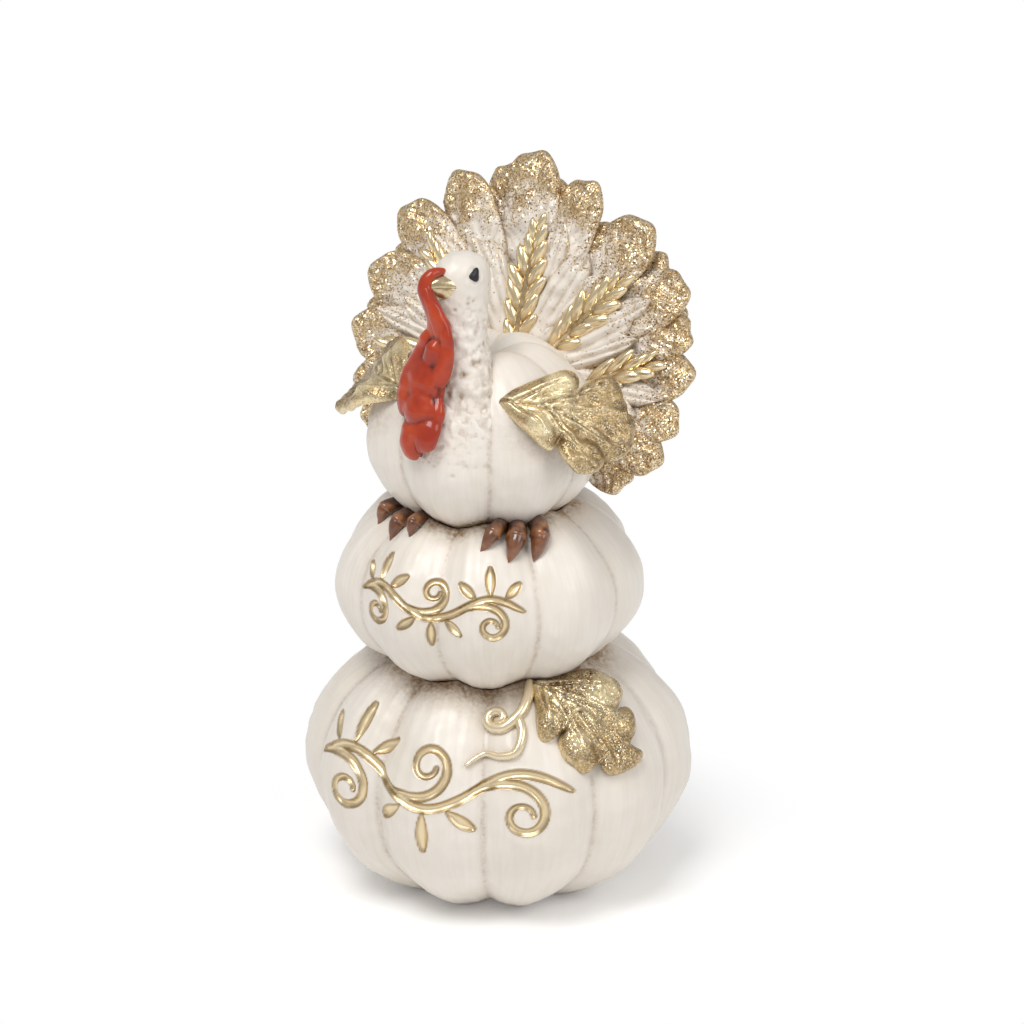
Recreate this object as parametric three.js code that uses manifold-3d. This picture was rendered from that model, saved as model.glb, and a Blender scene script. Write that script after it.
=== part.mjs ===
// A turkey on a stack of three pumpkins, cast in resin and painted.
// Millimetres, +Z up. The figure stands on z = 0 and faces -Y, so its left side is +X.
import * as THREE from "three";
import { mergeVertices } from "three/addons/utils/BufferGeometryUtils.js";
import Module from "manifold-3d";

const wasm = await Module();
wasm.setup();

// Overall height, and the gap left for the glue between two castings
const FIGURE_HEIGHT = 165.1;
const BOND_GAP = 0.3;

// Pumpkins: radius over the lobes, half height, number of lobes, angle of one lobe from the front
const LOWER_RADIUS = 44.45;
const LOWER_HALF = 33.5;
const LOWER_LOBES = 10;
const LOWER_TURN = 0;
const LOWER_FLAT = 4.5;
const MIDDLE_RADIUS = 34.95;
const MIDDLE_HALF = 23.6;
const MIDDLE_LOBES = 9;
const MIDDLE_TURN = 22.5;
const MIDDLE_FORWARD = 5.2;
const MIDDLE_SINK = 11.75;
const UPPER_RADIUS = 26.4;
const UPPER_HALF = 22.7;
const UPPER_LOBES = 7;
const UPPER_TURN = 0;
const UPPER_FORWARD = 7.7;
const UPPER_SINK = 10.65;
const LOBE_DEPTH = 0.07;
const CREASE_SOFTNESS = 0.12;
const DIMPLE_DEPTH = 5;
const DIMPLE_SPREAD = 0.26;

// Hollow casting: wall, pour hole with its plug, locating keys with their drain holes
const WALL = 5;
const POUR_HOLE_RADIUS = 9;
const PLUG_THICKNESS = 3.6;
const PLUG_RECESS = 0.6;
const KEY_RADIUS = 6;
const KEY_LENGTH = 3;
const DRAIN_RADIUS = 3;

// Neck, head, beak and eyes. Places are sideways, back from the breast, and up from the middle of the body
const NECK_ROUTE = [
  [0.4, 7.2, 0],
  [0.4, 7.9, 5],
  [0.4, 9.8, 12],
  [0.4, 12.2, 20],
  [0.5, 14.2, 28],
  [0.6, 15.5, 35],
];
const NECK_RADIUS = 5.6;
const BREAST_HALF_WIDTH = 11.4;
const BREAST_HALF_DEPTH = 7.9;
const BREAST_END = 0.12;
const BREAST_TAPER = [0.1, 0.6];
const HEAD_PLACE = [0.6, 16.1, 39];
const HEAD_RADIUS = 5.3;
const HEAD_NARROW = 0.97;
const HEAD_LONG = 1.12;
const HEAD_TURN = -22;
const BEAK_LENGTH = 6.6;
const BEAK_WIDTH = 5.4;
const BEAK_UPPER_HEIGHT = 2.5;
const BEAK_LOWER_HEIGHT = 1.7;
const BEAK_HOOK = 0.9;
const BEAK_ROOT = 3.2;
const EYE_RADIUS = 1.25;
const EYE_ANGLE = 59;
const EYE_RISE = 12;

// Snood and wattle: each spot is sideways, back from the breast, up, half width and half depth
const SNOOD_ROUTE = [
  [0, 11, 43, 1.1, 1],
  [-3.6, 7.8, 42.4, 1.6, 1.5],
  [-6, 5.8, 39.2, 1.9, 1.7],
  [-4.8, 5, 34.4, 2, 1.8],
  [-3.2, 5.2, 29.6, 2.6, 2.2],
  [-3.9, 5, 24.2, 4.4, 2.7],
  [-4.7, 3.8, 18, 5.9, 3.2],
  [-4.2, 1.4, 11.4, 6, 3.2],
  [-3.6, -0.6, 5.6, 4.8, 2.6],
  [-3.3, -0.8, 1.4, 3, 1.8],
];

// Tail fan: hub behind the upper pumpkin, lean of the fan, and the two rows of feathers
const HUB_INSET = 4.7;
const HUB_ABOVE = 8;
const TAIL_LEAN = 18;
const FEATHER_ROOT = 2.6;
const FEATHER_THICKNESS = 2.2;
const FEATHER_HALF_WIDTH = 7.6;
const FEATHER_CROWN = 0.7;
const FEATHER_TIP_WIDTH = 0.2;

// Each front feather: angle from upright towards the left wing, and length as a share of the longest
const FRONT_FEATHERS = [
  [-131, 0.75],
  [-116, 0.8],
  [-101, 0.81],
  [-84, 0.84],
  [-64, 0.89],
  [-45, 0.93],
  [-25, 0.96],
  [-3, 1],
  [15, 0.9],
  [34, 0.88],
  [54, 0.87],
  [71, 0.84],
  [86, 0.82],
  [100, 0.81],
  [114, 0.8],
  [130, 0.75],
];
const BACK_FEATHERS = [
  [-74, 0.84],
  [-54, 0.88],
  [-35, 0.92],
  [-13, 0.95],
  [6, 0.88],
  [25, 0.85],
  [46, 0.85],
  [63, 0.83],
];

// Short feathers between the wheat ears: angle and length from the hub
const INNER_FEATHERS = [
  [-104, 31],
  [-66, 31],
  [-23, 31],
  [24, 31],
  [66, 31],
  [104, 31],
];
const INNER_SPREAD = 15;
const INNER_HALF_WIDTH = 4.2;
const INNER_THICKNESS = 2;

// Wheat ears: angle, distance of the foot from the hub, and length
const EARS = [
  [-84, 12, 24],
  [-46, 9, 27],
  [2, 6, 30],
  [46, 9, 27],
  [84, 12, 24],
];
const EAR_WIDTH = 7.2;
const EAR_DEPTH = 4.4;
const EAR_GRAINS = 7;
const EAR_FURROW = 0.22;
const EAR_BELLY = 0.44;

// Wings: spot of the root on the body, direction of the midrib, and the way each one faces
const WING_LENGTH = 34;
const WING_WIDTH = 21.5;
const WING_ROOT_ANGLE = 34;
const WING_ROOT_RISE = 38;
const LEFT_WING_LINE = [28, 17.6, -15.2];
const LEFT_WING_FACE = [0.6, -0.55, 0.58];
const LEFT_WING_FOLD = 0.12;
const RIGHT_WING_LINE = [-20, 22, -11];
const RIGHT_WING_FACE = [-0.5, -0.3, 0.8];
const RIGHT_WING_FOLD = 0.36;

// Shape of the leaves: dip of the stalk, thickness, swell near the stalk, lobes and their sweep
const STALK_DIP = 2.4;
const STALK_SHARE = 0.25;
const BLADE_THICKNESS = 1.8;
const BLADE_EDGE = 0.5;
const LEAF_SWELL = 0.85;
const LEAF_FULLNESS = 0.75;
const LEAF_HALF_WAVES = 3.5;
const LEAF_LOBE_DEPTH = 0.3;
const LEAF_SWEEP = 0.16;

// Vine leaf: root and tip on the lower pumpkin, as angle from the front and height angle
const LEAF_LENGTH = 30;
const LEAF_WIDTH = 24;
const LEAF_ROOT = [39, 53];
const LEAF_TIP = [68, 10];
const LEAF_LIFT = 3.4;
const LEAF_DROOP = 0.0045;
const LEAF_FOLD = 0.05;

// Vine on the lower pumpkin, as angle from the front and height angle up its side
const VINE_RADIUS = 0.85;
const CURL_RADIUS = 2.7;
const CURL_END_RADIUS = 0.55;
const CURL_TURNS = 1.1;
const CURL_PLACE = [22.5, 42.5];
const CURL_STEM = [
  [38.5, 56],
  [35.7, 50],
  [31.6, 44],
];
const VINE_TAIL = [
  [30.6, 41.5],
  [31, 36],
  [28.4, 29.6],
  [23.5, 28.2],
  [18, 29],
  [12, 24.2],
];

// Toes of one foot: angle at the root, angle at the tip, height angle of the tip
const TOES = [
  ["inner", 22, 19.5, 42],
  ["middle", 37, 31.5, 36.5],
  ["outer", 53, 45, 36.5],
];
const TOE_ROOT_RISE = 56;
const TOE_RADIUS = 2.2;
const KNUCKLE_SWELL = 0.12;

const LOWER_HEIGHT = LOWER_HALF - LOWER_FLAT;
const MIDDLE_HEIGHT = LOWER_HEIGHT + LOWER_HALF - MIDDLE_SINK + MIDDLE_HALF;
const UPPER_HEIGHT = MIDDLE_HEIGHT + MIDDLE_HALF - UPPER_SINK + UPPER_HALF;
const LEAN = THREE.MathUtils.degToRad(TAIL_LEAN);
const TAIL_RISE = FIGURE_HEIGHT - UPPER_HEIGHT - HUB_ABOVE;
const TAIL_REACH = (TAIL_RISE - FEATHER_THICKNESS * Math.sin(LEAN)) / Math.cos(LEAN);

const LOWER = { radius: LOWER_RADIUS, half: LOWER_HALF, lobes: LOWER_LOBES, turn: LOWER_TURN };
const MIDDLE = { radius: MIDDLE_RADIUS, half: MIDDLE_HALF, lobes: MIDDLE_LOBES, turn: MIDDLE_TURN };
const UPPER = { radius: UPPER_RADIUS, half: UPPER_HALF, lobes: UPPER_LOBES, turn: UPPER_TURN };

// Fineness of the pumpkins' grids
const COLUMNS_PER_LOBE = 6;
const PUMPKIN_ROWS = 14;

// Paints
const CREAM = { color: 0xece4da, roughness: 0.42, metalness: 0 };
const GLITTER = { color: 0xc9a768, roughness: 0.45, metalness: 0.7 };
const GOLD = { color: 0xd2b878, roughness: 0.35, metalness: 0.7 };
const RED = { color: 0xb83420, roughness: 0.25, metalness: 0 };
const BROWN = { color: 0x7a4024, roughness: 0.3, metalness: 0 };
const BLACK = { color: 0x1c1d22, roughness: 0.2, metalness: 0 };
const RUBBER = { color: 0xd8d4cb, roughness: 0.8, metalness: 0 };

const radians = THREE.MathUtils.degToRad;
const smooth = THREE.MathUtils.smoothstep;

// A place on the turkey, from its distance sideways, back from the breast and up
function fromBreast([sideways, back, up]) {
  return new THREE.Vector3(sideways, back - UPPER_RADIUS, up);
}

// Groups that place the castings
const figure = new THREE.Group();
const base = new THREE.Group();
base.position.set(0, 0, LOWER_HEIGHT);
const seat = new THREE.Group();
seat.position.set(0, -MIDDLE_FORWARD, MIDDLE_HEIGHT);
const turkey = new THREE.Group();
turkey.position.set(0, -UPPER_FORWARD, UPPER_HEIGHT);
const head = new THREE.Group();
head.position.copy(fromBreast(HEAD_PLACE));
head.rotation.z = radians(HEAD_TURN);
const tail = new THREE.Group();
tail.position.set(0, UPPER_RADIUS - HUB_INSET, HUB_ABOVE);
tail.rotation.x = -LEAN;
turkey.add(head, tail);
figure.add(base, seat, turkey);
figure.updateMatrixWorld(true);

// A sphere's grid with each vertex moved to place(turn, rise), both from 0 to 1
function closedForm(columns, rows, place) {
  const geometry = new THREE.SphereGeometry(1, columns, rows);
  const { position, uv } = geometry.attributes;
  for (let i = 0; i < position.count; i++) {
    const point = place(uv.getX(i) % 1, uv.getY(i));
    position.setXYZ(i, point.x, point.y, point.z);
  }
  return geometry;
}

// A box's grid with each vertex moved to place(along, across, face): 0 to 1, -1 to 1, and -1 or 1
function bladeForm(lengths, widths, place) {
  const geometry = new THREE.BoxGeometry(1, 2, 2, lengths, widths, 1);
  const { position } = geometry.attributes;
  for (let i = 0; i < position.count; i++) {
    const point = place(position.getX(i) + 0.5, position.getY(i), position.getZ(i));
    position.setXYZ(i, point.x, point.y, point.z);
  }
  return geometry;
}

// A round form along a curve: across(t) and deep(t) are half sizes beside and square to the side direction
function sweptForm(curve, side, columns, rows, across, deep) {
  return closedForm(columns, rows, (turn, rise) => {
    const centre = curve.getPoint(rise);
    const tangent = curve.getTangent(rise);
    const out = new THREE.Vector3().crossVectors(tangent, side).normalize();
    const flank = new THREE.Vector3().crossVectors(out, tangent).normalize();
    const angle = turn * 2 * Math.PI;
    return centre
      .addScaledVector(flank, Math.cos(angle) * across(rise))
      .addScaledVector(out, Math.sin(angle) * deep(rise));
  });
}

// A closed geometry as a solid that faces out
function solidOf(geometry) {
  const bare = geometry.clone();
  bare.deleteAttribute("normal");
  bare.deleteAttribute("uv");
  const merged = mergeVertices(bare, 1e-4);
  const vertProperties = merged.attributes.position.array;
  const triVerts = new Uint32Array(merged.index.array);
  const made = new wasm.Manifold(new wasm.Mesh({ numProp: 3, vertProperties, triVerts }));
  if (made.volume() > 0) return made;
  return new wasm.Manifold(new wasm.Mesh({ numProp: 3, vertProperties, triVerts: triVerts.reverse() }));
}

// A geometry in its group's frame as a solid in the figure's frame
function placedSolid(geometry, group) {
  group.updateWorldMatrix(true, false);
  return solidOf(geometry.clone().applyMatrix4(group.matrixWorld));
}

// The largest body of a solid as a geometry in an object's frame, without the crumbs that a cut can leave
function localGeometry(solid, object) {
  const bodies = solid.decompose();
  const body = bodies.reduce((a, b) => (b.volume() > a.volume() ? b : a));
  const mesh = body.getMesh();
  const geometry = new THREE.BufferGeometry();
  geometry.setAttribute("position", new THREE.BufferAttribute(mesh.vertProperties, 3));
  geometry.setIndex(new THREE.BufferAttribute(mesh.triVerts, 1));
  geometry.applyMatrix4(object.matrixWorld.clone().invert());
  geometry.computeVertexNormals();
  return geometry;
}

// Adds a named mesh to a group, cut by solids in the figure's frame
function addPiece(name, geometry, paint, group, cutters = [], place = () => {}) {
  const mesh = new THREE.Mesh(geometry, new THREE.MeshStandardMaterial(paint));
  mesh.name = name;
  place(mesh);
  group.add(mesh);
  mesh.updateWorldMatrix(true, false);
  const whole = placedSolid(geometry, mesh);
  mesh.geometry = localGeometry(cutters.reduce((body, cutter) => body.subtract(cutter), whole), mesh);
}

// Adds a solid in the figure's frame to a group as a named mesh
function addSolid(name, solid, paint, group) {
  const mesh = new THREE.Mesh(localGeometry(solid, group), new THREE.MeshStandardMaterial(paint));
  mesh.name = name;
  group.add(mesh);
}

// An upright cylinder between two heights
function rod(radius, low, high, sides = 28) {
  return new THREE.CylinderGeometry(radius, radius, high - low, sides)
    .rotateX(Math.PI / 2)
    .translate(0, 0, (low + high) / 2);
}

// A point on a pumpkin: angle from the front towards +X, height angle, both in degrees
function pumpkinPoint(pumpkin, angle, rise, grow = 0) {
  const around = radians(angle);
  const tilt = radians(rise);
  const wave = Math.cos((pumpkin.lobes * (around - radians(pumpkin.turn))) / 2);
  const soft = CREASE_SOFTNESS;
  const ridge = (Math.hypot(wave, soft) - soft) / (Math.hypot(1, soft) - soft);
  const pinch = 1 - LOBE_DEPTH * (1 - ridge) * Math.sqrt(Math.max(0, Math.cos(tilt)));
  const out = (pumpkin.radius + grow) * Math.cos(tilt) * pinch;
  const spread = out / (pumpkin.radius * DIMPLE_SPREAD);
  const dimple = tilt > 0 ? DIMPLE_DEPTH * Math.exp(-spread * spread) : 0;
  const up = (pumpkin.half + grow) * Math.sin(tilt) * pinch - dimple;
  return new THREE.Vector3(out * Math.sin(around), -out * Math.cos(around), up);
}

function pumpkinForm(pumpkin, grow = 0) {
  const place = (turn, rise) => pumpkinPoint(pumpkin, turn * 360, (rise - 0.5) * 180, grow);
  return closedForm(pumpkin.lobes * COLUMNS_PER_LOBE, PUMPKIN_ROWS, place);
}

// The hollow inside a pumpkin, between two heights of its own frame
function hollowForm(pumpkin, low, high) {
  const middle = (low + high) / 2;
  const half = (high - low) / 2;
  const shrink = Math.sqrt(1 - (middle / pumpkin.half) ** 2);
  const radius = pumpkin.radius * (1 - LOBE_DEPTH) * shrink - WALL;
  const hollow = new THREE.SphereGeometry(1, 20, 8).rotateX(Math.PI / 2);
  return hollow.scale(radius, radius, half).translate(0, 0, middle);
}

// Each pumpkin grown by the bond gap, to cut the pieces that lie on it
const middleSeat = placedSolid(pumpkinForm(MIDDLE, BOND_GAP), seat);
const upperSeat = placedSolid(pumpkinForm(UPPER, BOND_GAP), turkey);
const lowerSeat = placedSolid(pumpkinForm(LOWER, BOND_GAP), base);

// The locating key under a pumpkin, and the drain hole through it into the hollow
function keySolid(pumpkin, group, grow) {
  const key = rod(KEY_RADIUS + grow, -pumpkin.half - KEY_LENGTH - grow, WALL - pumpkin.half);
  return placedSolid(key, group);
}

function drainSolid(pumpkin, group) {
  const drain = rod(DRAIN_RADIUS, -pumpkin.half - 2 * KEY_LENGTH, 2 * WALL - pumpkin.half);
  return placedSolid(drain, group);
}

// Lower pumpkin: flat under, hollow, with the pour hole and the seat of the middle pumpkin
function addLowerPumpkin() {
  const top = LOWER_HALF - MIDDLE_SINK - KEY_LENGTH - WALL / 2;
  const floor = new THREE.BoxGeometry(4 * LOWER_RADIUS, 4 * LOWER_RADIUS, LOWER_HALF);
  floor.translate(0, 0, -LOWER_HEIGHT - LOWER_HALF / 2);
  const body = placedSolid(pumpkinForm(LOWER), base)
    .subtract(placedSolid(floor, base))
    .subtract(middleSeat)
    .subtract(keySolid(MIDDLE, seat, BOND_GAP))
    .subtract(placedSolid(hollowForm(LOWER, WALL - LOWER_HEIGHT, top), base))
    .subtract(placedSolid(rod(POUR_HOLE_RADIUS, -LOWER_HALF, 2 * WALL - LOWER_HEIGHT), base));
  addSolid("lower_pumpkin", body, CREAM, base);
  const low = PLUG_RECESS - LOWER_HEIGHT;
  addPiece("pour_hole_plug", rod(POUR_HOLE_RADIUS - BOND_GAP, low, low + PLUG_THICKNESS), RUBBER, base);
}

// Middle pumpkin: hollow, keyed into the lower one, with the seat of the upper pumpkin
function addMiddlePumpkin() {
  const top = MIDDLE_HALF - UPPER_SINK - KEY_LENGTH - WALL / 2;
  const body = placedSolid(pumpkinForm(MIDDLE), seat)
    .add(keySolid(MIDDLE, seat, 0))
    .subtract(upperSeat)
    .subtract(keySolid(UPPER, turkey, BOND_GAP))
    .subtract(placedSolid(hollowForm(MIDDLE, WALL - MIDDLE_HALF, top), seat))
    .subtract(drainSolid(MIDDLE, seat));
  addSolid("middle_pumpkin", body, CREAM, seat);
}

// Upper pumpkin, the turkey's body: hollow, keyed into the middle one
function addUpperPumpkin() {
  const top = UPPER_HALF - DIMPLE_DEPTH - WALL;
  const body = placedSolid(pumpkinForm(UPPER), turkey)
    .add(keySolid(UPPER, turkey, 0))
    .subtract(placedSolid(hollowForm(UPPER, WALL - UPPER_HALF, top), turkey))
    .subtract(drainSolid(UPPER, turkey));
  addSolid("upper_pumpkin", body, CREAM, turkey);
}

// Neck from the breast up to the head, joined to the head
const NECK_CURVE = new THREE.CatmullRomCurve3([...NECK_ROUTE, HEAD_PLACE].map(fromBreast));

function neckSolid(grow) {
  const end = (t) => (t < BREAST_END ? Math.sqrt(1 - (1 - t / BREAST_END) ** 2) : Number(t < 1));
  const taper = (t) => 1 - smooth(t, ...BREAST_TAPER);
  const width = (t) => end(t) * (grow + THREE.MathUtils.lerp(NECK_RADIUS, BREAST_HALF_WIDTH, taper(t)));
  const depth = (t) => end(t) * (grow + THREE.MathUtils.lerp(NECK_RADIUS, BREAST_HALF_DEPTH, taper(t)));
  const neck = sweptForm(NECK_CURVE, new THREE.Vector3(1, 0, 0), 16, 14, width, depth);
  const skull = new THREE.SphereGeometry(HEAD_RADIUS + grow, 14, 10).scale(HEAD_NARROW, HEAD_LONG, 1);
  return placedSolid(neck, turkey).add(placedSolid(skull, head));
}

// Half of the beak: a half round cone that points along -Y in the head's frame, from inside the head
function beakForm(height, grow) {
  const length = HEAD_RADIUS - BEAK_ROOT + BEAK_LENGTH + grow;
  return closedForm(12, 6, (turn, rise) => {
    const angle = turn * 2 * Math.PI;
    const size = rise > 0 && rise < 1 ? Math.sqrt(1 - rise * rise) : 0;
    const round = Math.max(0, Math.sin(angle)) * (Math.abs(height) + grow);
    const flat = Math.sin(angle) < 0 ? grow : 0;
    const across = size * Math.cos(angle) * (BEAK_WIDTH / 2 + grow);
    const up = Math.sign(height) * (BOND_GAP / 2 + size * (round - flat));
    return new THREE.Vector3(across, -BEAK_ROOT - length * rise, up - BEAK_HOOK * rise * rise);
  });
}

// The value between the numbers of a list at t from 0 to 1
function listAt(list, t) {
  const place = t * (list.length - 1);
  const low = Math.min(Math.floor(place), list.length - 2);
  return THREE.MathUtils.lerp(list[low], list[low + 1], place - low);
}

// Snood and wattle along their route, rounded at both ends
function snoodForm() {
  const curve = new THREE.CatmullRomCurve3(SNOOD_ROUTE.map(fromBreast));
  const end = (t) => Math.sqrt(Math.max(0, 1 - Math.abs(2 * t - 1) ** 24));
  const side = new THREE.Vector3(Math.cos(radians(HEAD_TURN)), -Math.sin(radians(HEAD_TURN)), 0);
  const width = (t) => listAt(SNOOD_ROUTE.map((spot) => spot[3]), t) * end(t);
  const depth = (t) => listAt(SNOOD_ROUTE.map((spot) => spot[4]), t) * end(t);
  return sweptForm(curve, side, 10, 20, width, depth);
}

function addHead() {
  const neck = neckSolid(0).subtract(upperSeat);
  addSolid("neck_and_head", neck, CREAM, turkey);
  const neckSeat = neckSolid(BOND_GAP);
  addPiece("beak_upper", beakForm(BEAK_UPPER_HEIGHT, 0), GOLD, head, [neckSeat]);
  addPiece("beak_lower", beakForm(-BEAK_LOWER_HEIGHT, 0), GOLD, head, [neckSeat]);
  for (const [name, sign] of [
    ["eye_left", 1],
    ["eye_right", -1],
  ]) {
    const eye = new THREE.SphereGeometry(EYE_RADIUS, 10, 8);
    addPiece(name, eye, BLACK, head, [neckSeat], (mesh) => {
      const flat = Math.cos(radians(EYE_RISE)) * HEAD_RADIUS;
      mesh.position.x = sign * Math.sin(radians(EYE_ANGLE)) * flat * HEAD_NARROW;
      mesh.position.y = -Math.cos(radians(EYE_ANGLE)) * flat * HEAD_LONG;
      mesh.position.z = Math.sin(radians(EYE_RISE)) * HEAD_RADIUS;
    });
  }
  const beakSeats = [BEAK_UPPER_HEIGHT, -BEAK_LOWER_HEIGHT].map((height) =>
    placedSolid(beakForm(height, BOND_GAP), head),
  );
  addPiece("snood_and_wattle", snoodForm(), RED, turkey, [neckSeat, upperSeat, ...beakSeats]);
  return neckSeat;
}

// A leaf along +X from its stalk, facing +Z, with three lobes on each side and one at the tip
function leafForm(length, width, fold, droop) {
  return bladeForm(14, 4, (along, across, face) => {
    const swell = Math.sin(Math.PI * Math.pow(THREE.MathUtils.lerp(0.01, 0.96, along), LEAF_SWELL));
    const lobe = 1 + LEAF_LOBE_DEPTH * (Math.abs(Math.cos(LEAF_HALF_WAVES * Math.PI * along)) - 0.65);
    const x = length * (along + LEAF_SWEEP * along * across * across * (1 - along));
    const y = across * (width / 2) * Math.pow(swell, LEAF_FULLNESS) * lobe;
    const stalk = STALK_DIP * (1 - smooth(along, 0, STALK_SHARE));
    const lift = fold * Math.abs(y) - droop * (x * x * 0.6 + y * y) - stalk;
    const thin = (BLADE_THICKNESS / 2) * (1 - BLADE_EDGE * across * across);
    return new THREE.Vector3(x, y, lift + face * thin);
  });
}

// Turns a mesh so that its +X runs along a direction and its +Z faces another
function aim(mesh, along, face) {
  const x = along.clone().normalize();
  const y = new THREE.Vector3().crossVectors(face, x).normalize();
  const z = new THREE.Vector3().crossVectors(x, y);
  mesh.quaternion.setFromRotationMatrix(new THREE.Matrix4().makeBasis(x, y, z));
}

function addWing(name, sign, line, face, fold, neckSeat) {
  const wing = leafForm(WING_LENGTH, WING_WIDTH, fold, 0);
  addPiece(name, wing, GLITTER, turkey, [upperSeat, neckSeat], (mesh) => {
    const stand = BLADE_THICKNESS + STALK_DIP / 2;
    mesh.position.copy(pumpkinPoint(UPPER, sign * WING_ROOT_ANGLE, WING_ROOT_RISE, stand));
    aim(mesh, new THREE.Vector3(...line), new THREE.Vector3(...face));
  });
}

function addWings(neckSeat) {
  addWing("wing_left", 1, LEFT_WING_LINE, LEFT_WING_FACE, LEFT_WING_FOLD, neckSeat);
  addWing("wing_right", -1, RIGHT_WING_LINE, RIGHT_WING_FACE, RIGHT_WING_FOLD, neckSeat);
}

// One feather of the fan, upright in its own frame: lean angles to its neighbours limit its width
function featherForm(length, before, after, halfWidth, back, thickness) {
  const round = length - halfWidth;
  return bladeForm(8, 2, (along, across, face) => {
    const z = FEATHER_ROOT + (length - FEATHER_ROOT) * Math.sin((along * Math.PI) / 2);
    const room = z * Math.tan(radians((across < 0 ? before : after) / 2)) - BOND_GAP / 2;
    const bend = Math.max(0, (z - round) / halfWidth);
    const tip = Math.max(FEATHER_TIP_WIDTH, Math.sqrt(Math.max(0, 1 - bend * bend)));
    const x = across * Math.min(room, halfWidth) * tip;
    const crown = FEATHER_CROWN * across * across;
    const y = face < 0 ? back - thickness + crown : back;
    return new THREE.Vector3(x, y, z);
  });
}

// A row of feathers in the fan: the angle to the next feather on each side sets its room
function addFeatherRow(prefix, row, back) {
  row.forEach(([angle, share], i) => {
    const before = i > 0 ? angle - row[i - 1][0] : row[1][0] - row[0][0];
    const after = i < row.length - 1 ? row[i + 1][0] - angle : before;
    const length = TAIL_REACH * share;
    const feather = featherForm(length, before, after, FEATHER_HALF_WIDTH, back, FEATHER_THICKNESS);
    addPiece(`${prefix}_${i + 1}`, feather, CREAM, tail, [upperSeat], (mesh) => {
      mesh.rotation.y = radians(angle);
    });
  });
}

// A wheat ear, upright: rows of grains in chevrons round a spindle
function earForm(length) {
  return closedForm(8, 2 * EAR_GRAINS, (turn, rise) => {
    const angle = turn * 2 * Math.PI;
    const halves = rise < EAR_BELLY ? 1 - rise / EAR_BELLY : (rise - EAR_BELLY) / (1 - EAR_BELLY);
    const spindle = Math.sqrt(1 - halves * halves);
    const grain = Math.abs(Math.sin(Math.PI * (EAR_GRAINS * rise - 0.5 * Math.abs(Math.cos(angle)))));
    const size = spindle * (1 - EAR_FURROW * (1 - grain));
    const x = Math.cos(angle) * (EAR_WIDTH / 2) * size;
    const y = Math.sin(angle) * (EAR_DEPTH / 2) * size;
    return new THREE.Vector3(x, y, length * rise);
  });
}

function addTail() {
  addFeatherRow("tail_front_feather", FRONT_FEATHERS, 0);
  addFeatherRow("tail_back_feather", BACK_FEATHERS, FEATHER_THICKNESS + BOND_GAP);
  const inFront = -FEATHER_THICKNESS - BOND_GAP;
  INNER_FEATHERS.forEach(([angle, length], i) => {
    const spread = [INNER_SPREAD, INNER_SPREAD];
    const feather = featherForm(length, ...spread, INNER_HALF_WIDTH, inFront, INNER_THICKNESS);
    addPiece(`tail_inner_feather_${i + 1}`, feather, CREAM, tail, [upperSeat], (mesh) => {
      mesh.rotation.y = radians(angle);
    });
  });
  EARS.forEach(([angle, foot, length], i) => {
    addPiece(`wheat_ear_${i + 1}`, earForm(length), GOLD, tail, [upperSeat], (mesh) => {
      mesh.rotation.y = radians(angle);
      const depth = inFront - EAR_DEPTH / 2;
      mesh.position.set(Math.sin(radians(angle)) * foot, depth, Math.cos(radians(angle)) * foot);
    });
  });
}

// A tube that lies on the lower pumpkin along a route of angles
function vineForm(route, grow) {
  const plan = new THREE.CatmullRomCurve3(route.map(([angle, rise]) => new THREE.Vector3(angle, rise, 0)));
  const steps = 26;
  const points = plan.getPoints(steps).map((p) => pumpkinPoint(LOWER, p.x, p.y, VINE_RADIUS + BOND_GAP));
  const ring = new THREE.Shape().absarc(0, 0, VINE_RADIUS + grow, 0, 2 * Math.PI);
  const extrudePath = new THREE.CatmullRomCurve3(points);
  return new THREE.ExtrudeGeometry(ring, { steps, curveSegments: 8, bevelEnabled: false, extrudePath });
}

// The stem of the curl with a spiral at its end, measured in degrees on the pumpkin
function curlRoute() {
  const route = [...CURL_STEM];
  const perAngle = radians(LOWER_RADIUS * Math.cos(radians(CURL_PLACE[1])));
  const perRise = radians(Math.hypot(LOWER_RADIUS, LOWER_HALF) * Math.SQRT1_2);
  const spots = 10;
  for (let i = 0; i <= spots; i++) {
    const share = i / spots;
    const radius = THREE.MathUtils.lerp(CURL_RADIUS, CURL_END_RADIUS, share);
    const around = -share * CURL_TURNS * 2 * Math.PI - Math.PI / 5;
    const angle = CURL_PLACE[0] + (radius * Math.cos(around)) / perAngle;
    route.push([angle, CURL_PLACE[1] + (radius * Math.sin(around)) / perRise]);
  }
  return route;
}

function addVine() {
  const curlSeat = placedSolid(vineForm(curlRoute(), BOND_GAP), base);
  const leaf = leafForm(LEAF_LENGTH, LEAF_WIDTH, LEAF_FOLD, LEAF_DROOP);
  addPiece("vine_leaf", leaf, GLITTER, base, [lowerSeat, middleSeat, curlSeat], (mesh) => {
    mesh.position.copy(pumpkinPoint(LOWER, ...LEAF_ROOT, BLADE_THICKNESS + STALK_DIP));
    const tip = pumpkinPoint(LOWER, ...LEAF_TIP, LEAF_LIFT + STALK_DIP);
    const middle = [(LEAF_ROOT[0] + LEAF_TIP[0]) / 2, (LEAF_ROOT[1] + LEAF_TIP[1]) / 2];
    aim(mesh, tip.sub(mesh.position), pumpkinPoint(LOWER, ...middle));
  });
  addPiece("vine_curl", vineForm(curlRoute(), 0), GOLD, base, [middleSeat]);
  addPiece("vine_tail", vineForm(VINE_TAIL, 0), GOLD, base, [curlSeat]);
}

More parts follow.
